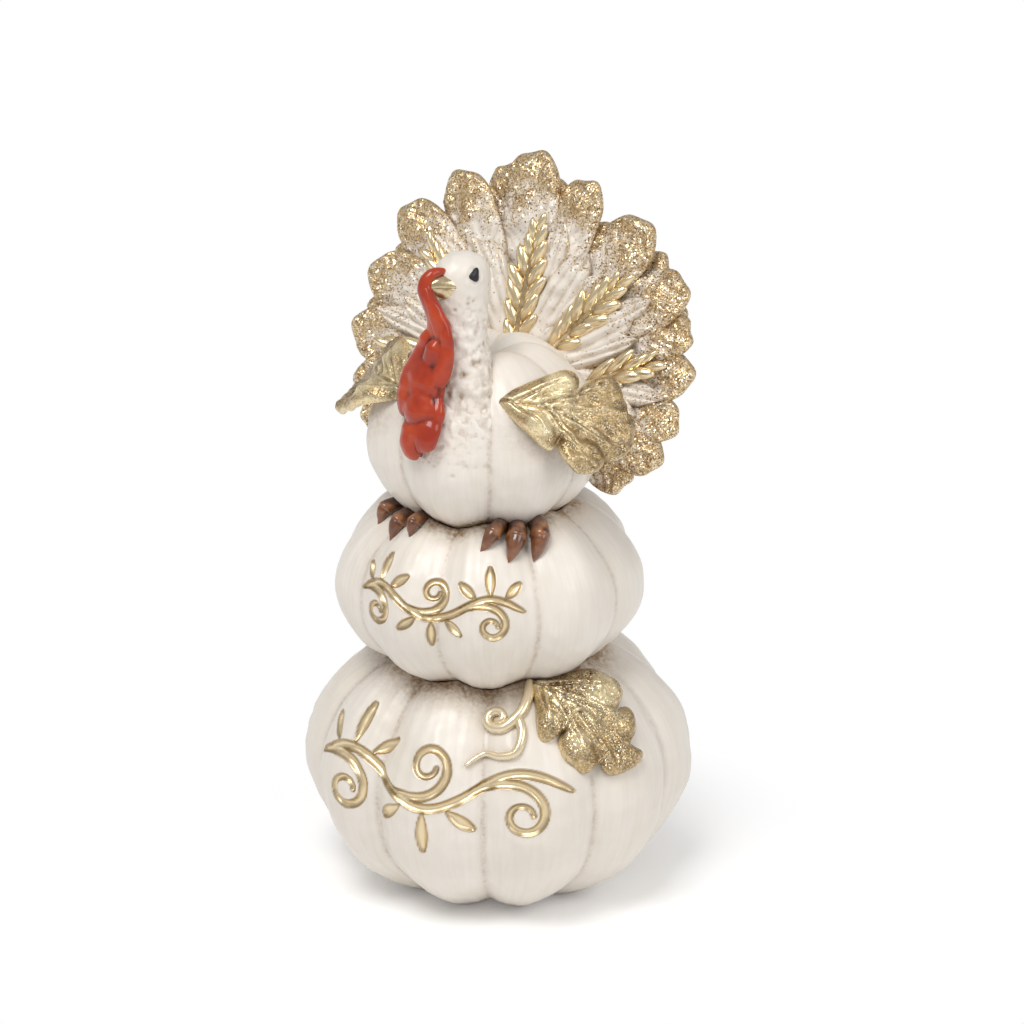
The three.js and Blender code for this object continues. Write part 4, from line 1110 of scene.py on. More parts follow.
def toe_form(root_bearing, tip_bearing, tip_rise, thick):
    """A toe on the middle pumpkin: rings along an arched line, with a long claw set in a fleshy collar."""
    t = np.linspace(0, 1, 100)
    bearing = root_bearing + (tip_bearing - root_bearing) * t
    rise = TOE_ROOT_RISE + (tip_rise - TOE_ROOT_RISE) * t
    claw = np.clip((t - 0.46) / 0.54, 0, 1)
    collar = np.sqrt(np.clip(1 - (np.maximum(t - 0.46, 0) / 0.07) ** 2, 0, 1))
    flesh = (0.90 + 0.10 * bump(t - 0.46, 0.08)) * collar
    nail = 0.90 * (1 - claw**1.5) ** 0.9
    radius = thick * np.maximum(flesh, nail) * np.sqrt(np.clip(t / 0.04, 0, 1))
    arch = np.sin(math.pi * np.clip(t * 1.15, 0, 1)) ** 1.2
    stand = thick * (0.15 + 0.65 * arch) * (1 - claw**2)
    centre = on_pumpkin(MIDDLE, bearing, rise, stand)
    form = strand_form(centre, radius, unit(centre - np.array(MIDDLE.centre)), 1.15)
    # Painted shade at the root, under the upper pumpkin, and a dark line at the claw's collar
    shaded = 0.9 * (1 - smooth(t, 0.15, 0.36)) + 0.8 * bump(t - 0.535, 0.025)
    shaded = np.append(np.repeat(shaded[1:-1], STRAND_SIDES), [1, 0])
    form.fields["hollow"] = np.clip(form.fields["hollow"] + shaded, 0, 1)
    bare = (nail > flesh).astype(float)
    form.fields["nail"] = np.append(np.repeat(bare[1:-1], STRAND_SIDES), [0, 1])
    return form


# Paints

def add_node(tree, kind, place, **settings):
    """A shader node at a place, with its settings."""
    node = tree.nodes.new(kind)
    node.location = place
    for name, value in settings.items():
        setattr(node, name, value)
    return node


def new_group(name, inputs, outputs):
    """An empty shader node group with sockets named by their kind, and its input and output nodes."""
    group = bpy.data.node_groups.new(name, "ShaderNodeTree")
    for way, sockets in (("INPUT", inputs), ("OUTPUT", outputs)):
        for socket, kind in sockets.items():
            group.interface.new_socket(socket, in_out=way, socket_type="NodeSocket" + kind)
    return group, add_node(group, "NodeGroupInput", (-900, 0)), add_node(group, "NodeGroupOutput", (700, 0))


def ramp(tree, place, factor, stops):
    """The colour that a ramp gives for a factor, with its stops given as places and colours."""
    node = add_node(tree, "ShaderNodeValToRGB", place)
    elements = node.color_ramp.elements
    while len(elements) < len(stops):
        elements.new(0.5)
    for element, (position, colour) in zip(elements, stops):
        element.position = position
        element.color = (*colour, 1)
    tree.links.new(factor, node.inputs[0])
    return node.outputs[0]


def math_node(tree, operation, place, *values, clamp=False):
    """A math node with its inputs linked, or set where they are numbers."""
    node = add_node(tree, "ShaderNodeMath", place, operation=operation, use_clamp=clamp)
    for socket, value in zip(node.inputs, values):
        if isinstance(value, (int, float)):
            socket.default_value = value
        else:
            tree.links.new(value, socket)
    return node.outputs[0]


def mix_colours(tree, place, factor, first, second, blend="MIX"):
    """A colour mix with its inputs linked, or set where they are numbers or colours."""
    node = add_node(tree, "ShaderNodeMix", place, data_type="RGBA", blend_type=blend)
    for socket, value in ((node.inputs[0], factor), (node.inputs[6], first), (node.inputs[7], second)):
        if isinstance(value, (int, float)):
            socket.default_value = value
        elif isinstance(value, tuple):
            socket.default_value = (*value, 1)
        else:
            tree.links.new(value, socket)
    return node.outputs[2]


def noise_node(tree, place, scale, detail=2):
    """Noise over a piece in its own coordinates."""
    coordinates = add_node(tree, "ShaderNodeTexCoord", (place[0] - 220, place[1]))
    noise = add_node(tree, "ShaderNodeTexNoise", place)
    noise.inputs["Scale"].default_value = scale
    noise.inputs["Detail"].default_value = detail
    tree.links.new(coordinates.outputs["Object"], noise.inputs["Vector"])
    return noise.outputs["Fac"]


def streaks_group():
    """Faint brush marks that run up a casting: noise drawn out along the height of its brush lines."""
    outputs = {"Streak": "Float", "Blotch": "Float"}
    group, start, end = new_group("Brush Streaks", {"Grain": "Vector"}, outputs)
    stretch = add_node(group, "ShaderNodeMapping", (-700, 100))
    stretch.inputs["Scale"].default_value = (26, 26, 1.6)
    fine = add_node(group, "ShaderNodeTexNoise", (-480, 100))
    fine.inputs["Scale"].default_value = 1.6
    fine.inputs["Detail"].default_value = 4
    group.links.new(start.outputs["Grain"], stretch.inputs["Vector"])
    group.links.new(stretch.outputs[0], fine.inputs["Vector"])
    group.links.new(fine.outputs["Fac"], end.inputs["Streak"])
    group.links.new(noise_node(group, (-480, -200), 70, 3), end.inputs["Blotch"])
    return group


def wash_and_shade_group():
    """Brown wash and painted shade in hollows: the painted hollow, broken up by two sizes of noise."""
    group, start, end = new_group("Hollow Wash and Shade", {"Hollow": "Float"}, {"Mask": "Float"})
    patches = noise_node(group, (-650, -100), 260, 5)
    specks = noise_node(group, (-650, -350), 1100)
    both = math_node(group, "MULTIPLY", (-420, -200), patches, specks)
    broken = math_node(group, "MULTIPLY_ADD", (-230, -200), both, 3.2, -0.1)
    mask = math_node(group, "MULTIPLY", (-40, 0), start.outputs["Hollow"], broken, clamp=True)
    group.links.new(mask, end.inputs["Mask"])
    return group


def flakes_group():
    """Glitter: small cells, of which a share are flakes, each with its own tilt and shade."""
    group, start, end = new_group(
        "Glitter Flakes",
        {"Density": "Float", "Scale": "Float", "Tilt": "Float"},
        {"Flake": "Float", "Shade": "Float", "Normal": "Vector"},
    )
    coordinates = add_node(group, "ShaderNodeTexCoord", (-900, -200))
    cells = add_node(group, "ShaderNodeTexVoronoi", (-680, -100))
    group.links.new(coordinates.outputs["Object"], cells.inputs["Vector"])
    group.links.new(start.outputs["Scale"], cells.inputs["Scale"])
    parts = add_node(group, "ShaderNodeSeparateColor", (-460, 60))
    group.links.new(cells.outputs["Color"], parts.inputs[0])
    flake = math_node(group, "LESS_THAN", (-240, 160), parts.outputs[0], start.outputs["Density"])
    centred = add_node(group, "ShaderNodeVectorMath", (-460, -260), operation="SUBTRACT")
    centred.inputs[1].default_value = (0.5, 0.5, 0.5)
    group.links.new(cells.outputs["Color"], centred.inputs[0])
    strength = math_node(group, "MULTIPLY", (-240, -60), flake, start.outputs["Tilt"])
    tilted = add_node(group, "ShaderNodeVectorMath", (-40, -240), operation="SCALE")
    group.links.new(centred.outputs[0], tilted.inputs[0])
    group.links.new(strength, tilted.inputs["Scale"])
    geometry = add_node(group, "ShaderNodeNewGeometry", (-40, -420))
    added = add_node(group, "ShaderNodeVectorMath", (160, -300), operation="ADD")
    group.links.new(geometry.outputs["Normal"], added.inputs[0])
    group.links.new(tilted.outputs[0], added.inputs[1])
    normal = add_node(group, "ShaderNodeVectorMath", (340, -300), operation="NORMALIZE")
    group.links.new(added.outputs[0], normal.inputs[0])
    group.links.new(flake, end.inputs["Flake"])
    group.links.new(parts.outputs[1], end.inputs["Shade"])
    group.links.new(normal.outputs[0], end.inputs["Normal"])
    return group


def new_paint(name, roughness, coat=0.0):
    """A material with its shader and output, ready for its colour."""
    material = bpy.data.materials.new(name)
    material.use_nodes = True
    tree = material.node_tree
    tree.nodes.clear()
    shader = add_node(tree, "ShaderNodeBsdfPrincipled", (600, 0))
    shader.inputs["Roughness"].default_value = roughness
    shader.inputs["Coat Weight"].default_value = coat
    shader.inputs["Coat Roughness"].default_value = 0.2
    output = add_node(tree, "ShaderNodeOutputMaterial", (900, 0))
    tree.links.new(shader.outputs[0], output.inputs[0])
    return material, tree, shader


def painted(tree, name, place):
    """The value or vector that was painted on a piece's points."""
    return add_node(tree, "ShaderNodeAttribute", place, attribute_name=name, attribute_type="GEOMETRY")


def placed_group(tree, name, make, place):
    """A node group placed in a material; it is made once and then found by its name."""
    group = bpy.data.node_groups.get(name) or make()
    return add_node(tree, "ShaderNodeGroup", place, node_tree=group)


def fine_bump(tree, place, height, distance, strength):
    """A bump node over a height."""
    node = add_node(tree, "ShaderNodeBump", place)
    node.inputs["Strength"].default_value = strength
    node.inputs["Distance"].default_value = distance
    tree.links.new(height, node.inputs["Height"])
    return node.outputs[0]


def wash_and_shade_mask(tree, place):
    """The broken-up mask of a piece's wash and painted shade."""
    hollow = painted(tree, "hollow", (place[0] - 220, place[1]))
    wash = placed_group(tree, "Hollow Wash and Shade", wash_and_shade_group, place)
    tree.links.new(hollow.outputs["Fac"], wash.inputs["Hollow"])
    return wash.outputs["Mask"]


def cream_paint(paints):
    """Satin cream over resin: brush streaks, brown wash in the hollows and gold in the engraved scrolls.

    The wash colour also stands for painted shade at the seats, under the wings, at the foot and on the neck.
    """
    material, tree, shader = new_paint("cream_resin", 0.40, 0.15)
    grain = painted(tree, "grain", (-1300, 300))
    streaks = placed_group(tree, "Brush Streaks", streaks_group, (-1100, 300))
    tree.links.new(grain.outputs["Vector"], streaks.inputs["Grain"])
    stops = [(0.32, (0.76, 0.69, 0.61)), (0.52, tuple(paints.cream)), (0.75, (0.86, 0.81, 0.745))]
    tint = ramp(tree, (-880, 420), streaks.outputs["Streak"], stops)
    stops = [(0.35, (0.95, 0.935, 0.91)), (0.65, (1, 1, 1))]
    cloud = ramp(tree, (-880, 180), streaks.outputs["Blotch"], stops)
    cream = mix_colours(tree, (-580, 300), 0.62, tint, tuple(paints.cream))
    cream = mix_colours(tree, (-380, 300), 1.0, cream, cloud, "MULTIPLY")
    mask = wash_and_shade_mask(tree, (-900, -120))
    # Wash and painted shade mixed into the cream
    washed_and_shaded = mix_colours(tree, (-160, 240), mask, cream, tuple(paints.wash))
    rim = painted(tree, "rim", (-900, -420))
    gold = mix_colours(tree, (-380, -300), rim.outputs["Fac"], tuple(paints.gold), tuple(paints.deep_gold))
    gilt = painted(tree, "gilt", (-380, -520)).outputs["Fac"]
    colour = mix_colours(tree, (80, 120), gilt, washed_and_shaded, gold)
    tree.links.new(colour, shader.inputs["Base Color"])
    tree.links.new(math_node(tree, "MULTIPLY", (80, -160), gilt, 0.85), shader.inputs["Metallic"])
    height = math_node(tree, "ADD", (80, -360), streaks.outputs["Streak"], mask)
    tree.links.new(fine_bump(tree, (300, -360), height, 0.00008, 0.35), shader.inputs["Normal"])
    return material


def flake_colours(tree, place, shade, paints):
    """Colours of glitter flakes, from dark to pale: painted shade and painted glints, given to each flake at
    random.
    """
    stops = [(0.0, tuple(paints.glitter_dark)), (0.18, (0.40, 0.25, 0.11)), (0.45, (0.62, 0.44, 0.22)),
             (0.72, (0.82, 0.66, 0.41)), (0.92, tuple(paints.glitter_pale))]
    return ramp(tree, place, shade, stops)


def feather_paint(paints):
    """Cream feathers with glitter that thickens to their tips, and wash in the hollows.

    The wash colour is also painted shade near the hub, where the feathers go in behind the body.
    """
    material, tree, shader = new_paint("feather_paint", 0.42)
    mask = wash_and_shade_mask(tree, (-900, 250))
    cream = mix_colours(tree, (-600, 300), mask, tuple(paints.cream), (0.38, 0.26, 0.13))
    density = painted(tree, "glitter", (-1150, -60)).outputs["Fac"]
    gild = math_node(tree, "POWER", (-900, -20), density, 2.6)
    gild = math_node(tree, "MULTIPLY", (-600, 60), gild, 0.95)
    dusted = mix_colours(tree, (-380, 200), gild, cream, (0.53, 0.36, 0.165))
    amount = math_node(tree, "MULTIPLY_ADD", (-900, -200), density, 0.86, 0.025)
    flakes = placed_group(tree, "Glitter Flakes", flakes_group, (-650, -200))
    flakes.inputs["Scale"].default_value = 3500
    flakes.inputs["Tilt"].default_value = 0.75
    tree.links.new(amount, flakes.inputs["Density"])
    sparkle = flake_colours(tree, (-380, -60), flakes.outputs["Shade"], paints)
    colour = mix_colours(tree, (0, 120), flakes.outputs["Flake"], dusted, sparkle)
    tree.links.new(colour, shader.inputs["Base Color"])
    metal = math_node(tree, "MULTIPLY", (0, -80), flakes.outputs["Flake"], 0.75)
    tree.links.new(metal, shader.inputs["Metallic"])
    gloss = math_node(tree, "MULTIPLY_ADD", (0, -240), flakes.outputs["Flake"], -0.14, 0.42)
    tree.links.new(gloss, shader.inputs["Roughness"])
    tree.links.new(flakes.outputs["Normal"], shader.inputs["Normal"])
    return material


def glitter_paint(paints):
    """Gold paint strewn with fine glitter, dark in the hollows and in painted shade near the stalk.

    Where it is raised it is pale, partly from wear and partly as a painted highlight.
    """
    material, tree, shader = new_paint("glitter_gold", 0.30)
    mask = wash_and_shade_mask(tree, (-900, 250))
    worn = painted(tree, "rim", (-1150, 60)).outputs["Fac"]
    patches = noise_node(tree, (-1150, 500), 330, 4)
    flat = ramp(tree, (-900, 500), patches, [(0.36, (0.19, 0.125, 0.056)), (0.60, (0.54, 0.385, 0.18))])
    # Pale gold where raised: partly wear, partly painted highlight
    pale = mix_colours(tree, (-600, 300), worn, flat, (0.98, 0.82, 0.50))
    gold = mix_colours(tree, (-380, 200), mask, pale, (0.10, 0.06, 0.028))
    density = math_node(tree, "MULTIPLY_ADD", (-900, -160), worn, -0.40, 0.80)
    flakes = placed_group(tree, "Glitter Flakes", flakes_group, (-650, -200))
    flakes.inputs["Scale"].default_value = 4200
    rough = painted(tree, "sparkle", (-900, -320)).outputs["Fac"]
    tree.links.new(rough, flakes.inputs["Tilt"])
    tree.links.new(density, flakes.inputs["Density"])
    sparkle = flake_colours(tree, (-380, -60), flakes.outputs["Shade"], paints)
    share = math_node(tree, "MULTIPLY", (-200, -160), flakes.outputs["Flake"], 0.55)
    colour = mix_colours(tree, (0, 120), share, gold, sparkle)
    tree.links.new(colour, shader.inputs["Base Color"])
    metal = math_node(tree, "MULTIPLY_ADD", (0, -80), worn, -0.24, 0.92)
    tree.links.new(metal, shader.inputs["Metallic"])
    matt = math_node(tree, "MULTIPLY_ADD", (-200, -320), rough, -0.45, 0.68)
    gloss = math_node(tree, "MULTIPLY_ADD", (0, -240), worn, -0.12, matt)
    tree.links.new(gloss, shader.inputs["Roughness"])
    tree.links.new(flakes.outputs["Normal"], shader.inputs["Normal"])
    return material


def gold_paint(paints):
    """Bright gold paint with deep gold left in the hollows, and paler where it is worn.

    Deep gold also serves as painted shade on the underside of the vine and at the foot of each wheat grain.
    """
    material, tree, shader = new_paint("gold_paint", 0.25)
    mask = wash_and_shade_mask(tree, (-900, 200))
    worn = painted(tree, "worn", (-900, 420)).outputs["Fac"]
    bright = mix_colours(tree, (-600, 320), worn, tuple(paints.gold), tuple(paints.pale_gold))
    colour = mix_colours(tree, (-300, 200), mask, bright, tuple(paints.deep_gold))
    tree.links.new(colour, shader.inputs["Base Color"])
    metal = math_node(tree, "MULTIPLY_ADD", (0, 0), worn, -0.45, 0.92)
    tree.links.new(metal, shader.inputs["Metallic"])
    noise = noise_node(tree, (-300, -200), 900)
    tree.links.new(fine_bump(tree, (200, -200), noise, 0.0001, 0.3), shader.inputs["Normal"])
    return material


def red_paint(paints):
    """Glossy red with a dark wash in the folds and painted shade on its back, against the neck."""
    material, tree, shader = new_paint("red_paint", 0.30, 0.45)
    shader.inputs["Coat Roughness"].default_value = 0.10
    shader.inputs["Specular IOR Level"].default_value = 0.25
    mask = wash_and_shade_mask(tree, (-700, 200))
    noise = noise_node(tree, (-700, -100), 180)
    stops = [(0.35, (0.33, 0.028, 0.010)), (0.6, tuple(paints.red)), (0.8, (0.54, 0.08, 0.016))]
    tint = ramp(tree, (-480, -40), noise, stops)
    colour = mix_colours(tree, (-160, 100), mask, tint, (0.11, 0.014, 0.008))
    tree.links.new(colour, shader.inputs["Base Color"])
    tree.links.new(fine_bump(tree, (200, -200), noise, 0.00015, 0.25), shader.inputs["Normal"])
    return material


def brown_paint(paints):
    """Glossy brown toes with orange rubbed on the knuckles and claws.

    Painted shade darkens their undersides and roots, and a dark line marks the collar of each claw.
    """
    material, tree, shader = new_paint("brown_paint", 0.30, 0.8)
    shader.inputs["Coat Roughness"].default_value = 0.10
    noise = noise_node(tree, (-700, -100), 420, 3)
    rubbed = ramp(tree, (-480, -40), noise, [(0.40, tuple(paints.brown)), (0.66, tuple(paints.orange))])
    nail = painted(tree, "nail", (-480, 220)).outputs["Fac"]
    nail = math_node(tree, "MULTIPLY", (-320, 240), nail, 0.6)
    toe = mix_colours(tree, (-200, 100), nail, rubbed, (0.21, 0.068, 0.022))
    mask = wash_and_shade_mask(tree, (-480, 420))
    colour = mix_colours(tree, (80, 100), mask, toe, (0.045, 0.018, 0.012))
    tree.links.new(colour, shader.inputs["Base Color"])
    tree.links.new(fine_bump(tree, (200, -200), noise, 0.00012, 0.3), shader.inputs["Normal"])
    return material


def speckled_paint(name, colour, dark, roughness, scale):
    """A plain paint with slight mottling in its colour and surface."""
    material, tree, shader = new_paint(name, roughness)
    noise = noise_node(tree, (-500, 0), scale)
    tint = ramp(tree, (-280, 60), noise, [(0.3, dark), (0.7, colour)])
    tree.links.new(tint, shader.inputs["Base Color"])
    tree.links.new(fine_bump(tree, (200, -200), noise, 0.0001, 0.3), shader.inputs["Normal"])
    return material


def paint(context, slot):
    """The material of a slot, made when it is first asked for."""
    paints = context.scene.turkey_paints
    made = bpy.data.materials.get(slot)
    if made and made.get("dressed"):
        return made
    black = tuple(paints.black)
    rubber = tuple(paints.rubber)
    makers = {
        "cream_resin": lambda: cream_paint(paints),
        "feather_paint": lambda: feather_paint(paints),
        "glitter_gold": lambda: glitter_paint(paints),
        "gold_paint": lambda: gold_paint(paints),
        "red_paint": lambda: red_paint(paints),
        "brown_paint": lambda: brown_paint(paints),
        "black_paint": lambda: speckled_paint("black_paint", black, (0.006, 0.006, 0.009), 0.35, 600),
        "plug_rubber": lambda: speckled_paint("plug_rubber", rubber, (0.50, 0.47, 0.42), 0.75, 900),
    }
    if made:
        made.name = slot + ".frame"
    material = makers[slot]()
    material["dressed"] = True
    return material


# Operators

class TURKEY_OT_pumpkins(bpy.types.Operator):
    """Cast the three stacked pumpkins, with scrolls engraved in the two lower ones"""

    bl_idname = "turkey.pumpkins"
    bl_label = "Pumpkins"

    def execute(self, context):
        sizes = context.scene.turkey_sizes
        for node, make in (("lower_pumpkin", lower_pumpkin_form), ("middle_pumpkin", middle_pumpkin_form),
                           ("upper_pumpkin", upper_pumpkin_form)):
            add_piece(context, make(sizes), node, "cream_resin")
        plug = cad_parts["pour_hole_plug"]
        plug.data.materials.clear()
        plug.data.materials.append(paint(context, "plug_rubber"))
        return {"FINISHED"}


class TURKEY_OT_head(bpy.types.Operator):
    """Cast the neck and head with the beak, the eyes, and the snood and wattle"""

    bl_idname = "turkey.head"
    bl_label = "Neck and Head"

    def execute(self, context):
        add_piece(context, neck_form(context.scene.turkey_sizes), "neck_and_head", "cream_resin")
        add_piece(context, beak_form(BEAK_UPPER_HEIGHT), "beak_upper", "gold_paint")
        add_piece(context, beak_form(BEAK_LOWER_HEIGHT), "beak_lower", "gold_paint")
        for node, sign in (("eye_left", 1), ("eye_right", -1)):
            add_piece(context, eye_form(sign), node, "black_paint")
        add_piece(context, snood_form(), "snood_and_wattle", "red_paint")
        return {"FINISHED"}


class TURKEY_OT_leaves(bpy.types.Operator):
    """Cast the two leaf wings and the vine leaf"""

    bl_idname = "turkey.leaves"
    bl_label = "Wings and Vine Leaf"

    def execute(self, context):
        thickness = context.scene.turkey_sizes.blade_thickness / MM
        left_root = on_pumpkin(UPPER, WING_ROOT_BEARING, WING_ROOT_RISE, WING_STAND)
        right_root = on_pumpkin(UPPER, -WING_ROOT_BEARING, WING_ROOT_RISE, WING_STAND)
        left = leaf_frame(left_root, LEFT_WING_LINE, LEFT_WING_FACE)
        right = leaf_frame(right_root, RIGHT_WING_LINE, RIGHT_WING_FACE)
        plan = (WING_EDGES, WING_LOBES, WING_VEINS, WING_NOTCHES)
        left_wing = leaf_form(
            plan, left, LEFT_WING_FOLD, LEFT_WING_BEND, thickness, WING_STALK_SHADE, WING_SPARKLE, seed=51
        )
        (_, high_edge), lobes, veins, notches = flipped(plan)
        plan = ((RIGHT_WING_LOW_EDGE, high_edge), lobes, veins, notches[:2])
        right_wing = leaf_form(
            plan, right, RIGHT_WING_FOLD, RIGHT_WING_BEND, thickness, WING_STALK_SHADE, WING_SPARKLE, seed=52
        )
        add_piece(context, left_wing, "wing_left", "glitter_gold")
        add_piece(context, right_wing, "wing_right", "glitter_gold")
        root = on_pumpkin(LOWER, *VINE_LEAF_ROOT)
        tip = on_pumpkin(LOWER, *VINE_LEAF_TIP)
        middle = on_pumpkin(LOWER, *np.add(VINE_LEAF_ROOT, VINE_LEAF_TIP) / 2)
        place = leaf_frame(root, tip - root, middle - np.array(LOWER.centre))
        plan = (VINE_LEAF_EDGES, VINE_LEAF_LOBES, VINE_LEAF_VEINS, VINE_LEAF_NOTCHES)
        vine_leaf = leaf_form(
            plan, place, VINE_LEAF_FOLD, VINE_LEAF_BEND, thickness, VINE_LEAF_STALK_SHADE, VINE_LEAF_SPARKLE,
            seed=53,
        )
        add_piece(context, vine_leaf, "vine_leaf", "glitter_gold")
        return {"FINISHED"}


class TURKEY_OT_tail(bpy.types.Operator):
    """Cast the tail fan: two rows of feathers and the short plain ones in front"""

    bl_idname = "turkey.tail"
    bl_label = "Tail Feathers"

    def execute(self, context):
        thickness = context.scene.turkey_sizes.feather_thickness / MM
        behind = -thickness - FEATHER_ROW_GAP
        rows = (("front", FRONT_FEATHERS, 0.0, FRONT_SEED), ("back", BACK_FEATHERS, behind, BACK_SEED))
        for name, row, base, seed in rows:
            for i, (bearing, share, half) in enumerate(row):
                form = feather_form(bearing, TAIL_REACH * share, half, base, thickness, seed + i)
                add_piece(context, form, f"tail_{name}_feather_{i + 1}", "feather_paint")
        for i, bearing in enumerate(INNER_BEARINGS):
            form = inner_feather_form(bearing, INNER_LENGTH, INNER_SEED + i)
            add_piece(context, form, f"tail_inner_feather_{i + 1}", "feather_paint")
        return {"FINISHED"}


class TURKEY_OT_wheat(bpy.types.Operator):
    """Cast the wheat ears that lie on the tail fan"""

    bl_idname = "turkey.wheat"
    bl_label = "Wheat Ears"

    def execute(self, context):
        longest = max(length for _, _, length, _ in WHEAT_EARS)
        spacing = longest / context.scene.turkey_sizes.grain_rows
        for i, (bearing, foot, length, lean) in enumerate(WHEAT_EARS):
            form = ear_form(bearing, foot, length, lean, round(length / spacing), EAR_SEED + i)
            add_piece(context, form, f"wheat_ear_{i + 1}", "gold_paint")
        return {"FINISHED"}


class TURKEY_OT_vine(bpy.types.Operator):
    """Cast the vine: its curl and its tail, on the lower pumpkin"""

    bl_idname = "turkey.vine"
    bl_label = "Vine"

    def execute(self, context):
        curl = vine_form(curl_route(), thin_start=1.15, thin_end=0.7)
        add_piece(context, curl, "vine_curl", "gold_paint")
        tail = vine_form(VINE_TAIL, thin_start=1.0, thin_end=0.35)
        add_piece(context, tail, "vine_tail", "gold_paint")
        return {"FINISHED"}


class TURKEY_OT_feet(bpy.types.Operator):
    """Cast the toes of both feet"""

    bl_idname = "turkey.feet"
    bl_label = "Toes"

    def execute(self, context):
        for foot, toes in (("left", LEFT_TOES), ("right", RIGHT_TOES)):
            for toe, plan in toes.items():
                add_piece(context, toe_form(*plan), f"{foot}_toe_{toe}", "brown_paint")
        return {"FINISHED"}


def area_lamp(name, place, target, size, power):
    """A soft square lamp that faces a target."""
    data = bpy.data.lights.new(name, "AREA")
    data.size = size
    data.energy = power
    lamp = bpy.data.objects.new(name, data)
    lamp.location = place
    lamp.rotation_euler = (Vector(target) - Vector(place)).to_track_quat("-Z", "Y").to_euler()
    bpy.context.scene.collection.objects.link(lamp)


def floor_paint(paints):
    """Pale floor that takes the figure's shadow and turns to plain white away from it."""
    material, tree, shader = new_paint("floor_paint", 0.9)
    shader.inputs["Base Color"].default_value = (*paints.floor, 1)
    shader.inputs["Specular IOR Level"].default_value = 0
    coordinates = add_node(tree, "ShaderNodeTexCoord", (-700, 300))
    distance = add_node(tree, "ShaderNodeVectorMath", (-500, 300), operation="LENGTH")
    tree.links.new(coordinates.outputs["Object"], distance.inputs[0])
    far = add_node(tree, "ShaderNodeMapRange", (-300, 300), interpolation_type="SMOOTHSTEP")
    far.inputs["From Min"].default_value = FLOOR_FADE[0]
    far.inputs["From Max"].default_value = FLOOR_FADE[1]
    tree.links.new(distance.outputs["Value"], far.inputs["Value"])
    rays = add_node(tree, "ShaderNodeLightPath", (-500, 0))
    seen = math_node(tree, "MAXIMUM", (-300, 0), rays.outputs["Is Camera Ray"], rays.outputs["Is Glossy Ray"])
    seen = math_node(tree, "MAXIMUM", (-120, 0), seen, rays.outputs["Is Transmission Ray"])
    glow = add_node(tree, "ShaderNodeCombineColor", (200, -200))
    for socket in glow.inputs[:3]:
        tree.links.new(seen, socket)
    tree.links.new(glow.outputs[0], shader.inputs["Emission Color"])
    shader.inputs["Emission Strength"].default_value = FLOOR_GLOW
    white = add_node(tree, "ShaderNodeEmission", (300, 300))
    mixed = add_node(tree, "ShaderNodeMixShader", (800, 300))
    tree.links.new(math_node(tree, "MULTIPLY", (60, 200), far.outputs[0], seen), mixed.inputs[0])
    tree.links.new(shader.outputs[0], mixed.inputs[1])
    tree.links.new(white.outputs[0], mixed.inputs[2])
    output = next(node for node in tree.nodes if node.type == "OUTPUT_MATERIAL")
    tree.links.new(mixed.outputs[0], output.inputs[0])
    return material


def studio_world():
    """Soft even light all round, seen by the camera and by reflections as white."""
    world = bpy.data.worlds.new("Studio")
    bpy.context.scene.world = world
    world.use_nodes = True
    tree = world.node_tree
    tree.nodes.clear()
    rays = add_node(tree, "ShaderNodeLightPath", (-700, 0)).outputs
    seen = math_node(tree, "MAXIMUM", (-500, 0), rays["Is Camera Ray"], rays["Is Transmission Ray"])
    strength = math_node(tree, "MULTIPLY_ADD", (-300, 0), seen, 1 - SKY, SKY)
    light = add_node(tree, "ShaderNodeBackground", (-100, 0))
    light.inputs["Color"].default_value = (1, 1, 1, 1)
    tree.links.new(strength, light.inputs["Strength"])
    output = add_node(tree, "ShaderNodeOutputWorld", (120, 0))
    tree.links.new(light.outputs[0], output.inputs[0])


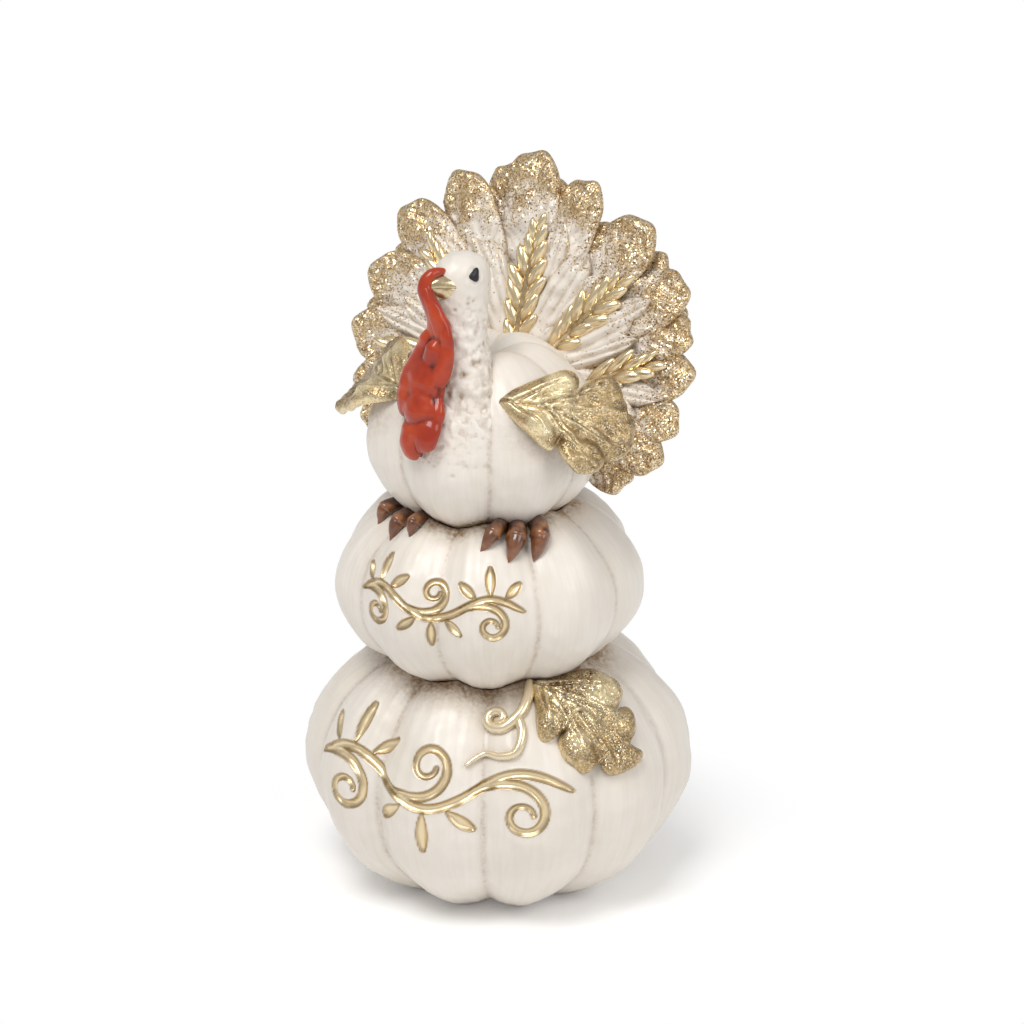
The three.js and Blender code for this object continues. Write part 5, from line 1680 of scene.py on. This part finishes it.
class TURKEY_OT_stage(bpy.types.Operator):
    """Lay the floor and set the lamps and the camera"""

    bl_idname = "turkey.stage"
    bl_label = "Stage"

    def execute(self, context):
        scene = context.scene
        scene.view_settings.view_transform = "Standard"
        signs = ((-1, -1), (1, -1), (1, 1), (-1, 1))
        corners = [(x * FLOOR_HALF, y * FLOOR_HALF, 0) for x, y in signs]
        mesh = bpy.data.meshes.new("floor")
        mesh.from_pydata(corners, [], [(0, 1, 2, 3)])
        mesh.materials.append(floor_paint(scene.turkey_paints))
        floor = bpy.data.objects.new("floor", mesh)
        scene.collection.objects.link(floor)
        studio_world()
        target = np.array(VIEW_TARGET) * MM
        right = np.array([math.cos(VIEW_BEARING), math.sin(VIEW_BEARING), 0])
        level = np.array([math.sin(VIEW_BEARING), -math.cos(VIEW_BEARING), 0])
        up = np.array([0, 0, 1])
        back = math.cos(VIEW_RISE) * level + math.sin(VIEW_RISE) * up
        for name, ((towards, aside, above), width, power) in (("key", KEY_LAMP), ("fill", FILL_LAMP)):
            area_lamp(name, target + towards * back + aside * right + above * up, target, width, power)
        data = bpy.data.cameras.new("camera")
        data.lens = CAMERA_LENS
        data.sensor_width = CAMERA_SENSOR
        data.clip_start = 0.05
        camera = bpy.data.objects.new("camera", data)
        place = target + VIEW_DISTANCE * MM * back
        camera.location = place
        camera.rotation_euler = (Vector(target) - Vector(place)).to_track_quat("-Z", "Y").to_euler()
        scene.collection.objects.link(camera)
        scene.camera = camera
        return {"FINISHED"}


OPERATORS = (
    TURKEY_OT_pumpkins, TURKEY_OT_head, TURKEY_OT_leaves, TURKEY_OT_tail, TURKEY_OT_wheat, TURKEY_OT_vine,
    TURKEY_OT_feet, TURKEY_OT_stage,
)


class TURKEY_PT_panel(bpy.types.Panel):
    """Lists the pieces of the figure with their sizes and paints"""

    bl_idname = "TURKEY_PT_panel"
    bl_label = "Turkey Figure"
    bl_space_type = "VIEW_3D"
    bl_region_type = "UI"
    bl_category = "Turkey"

    def draw(self, context):
        for group in (context.scene.turkey_sizes, context.scene.turkey_paints):
            box = self.layout.box()
            for name in group.bl_rna.properties.keys():
                if name not in ("rna_type", "name"):
                    box.prop(group, name)
        for operator in OPERATORS:
            self.layout.operator(operator.bl_idname)


CLASSES = (TurkeySizes, TurkeyPaints, *OPERATORS, TURKEY_PT_panel)


def register():
    for item in CLASSES:
        bpy.utils.register_class(item)
    bpy.types.Scene.turkey_sizes = PointerProperty(type=TurkeySizes)
    bpy.types.Scene.turkey_paints = PointerProperty(type=TurkeyPaints)


def unregister():
    del bpy.types.Scene.turkey_paints
    del bpy.types.Scene.turkey_sizes
    for item in reversed(CLASSES):
        bpy.utils.unregister_class(item)


def main():
    register()
    bpy.ops.turkey.pumpkins()
    bpy.ops.turkey.head()
    bpy.ops.turkey.leaves()
    bpy.ops.turkey.tail()
    bpy.ops.turkey.wheat()
    bpy.ops.turkey.vine()
    bpy.ops.turkey.feet()
    bpy.ops.turkey.stage()


if __name__ == "__main__":
    main()
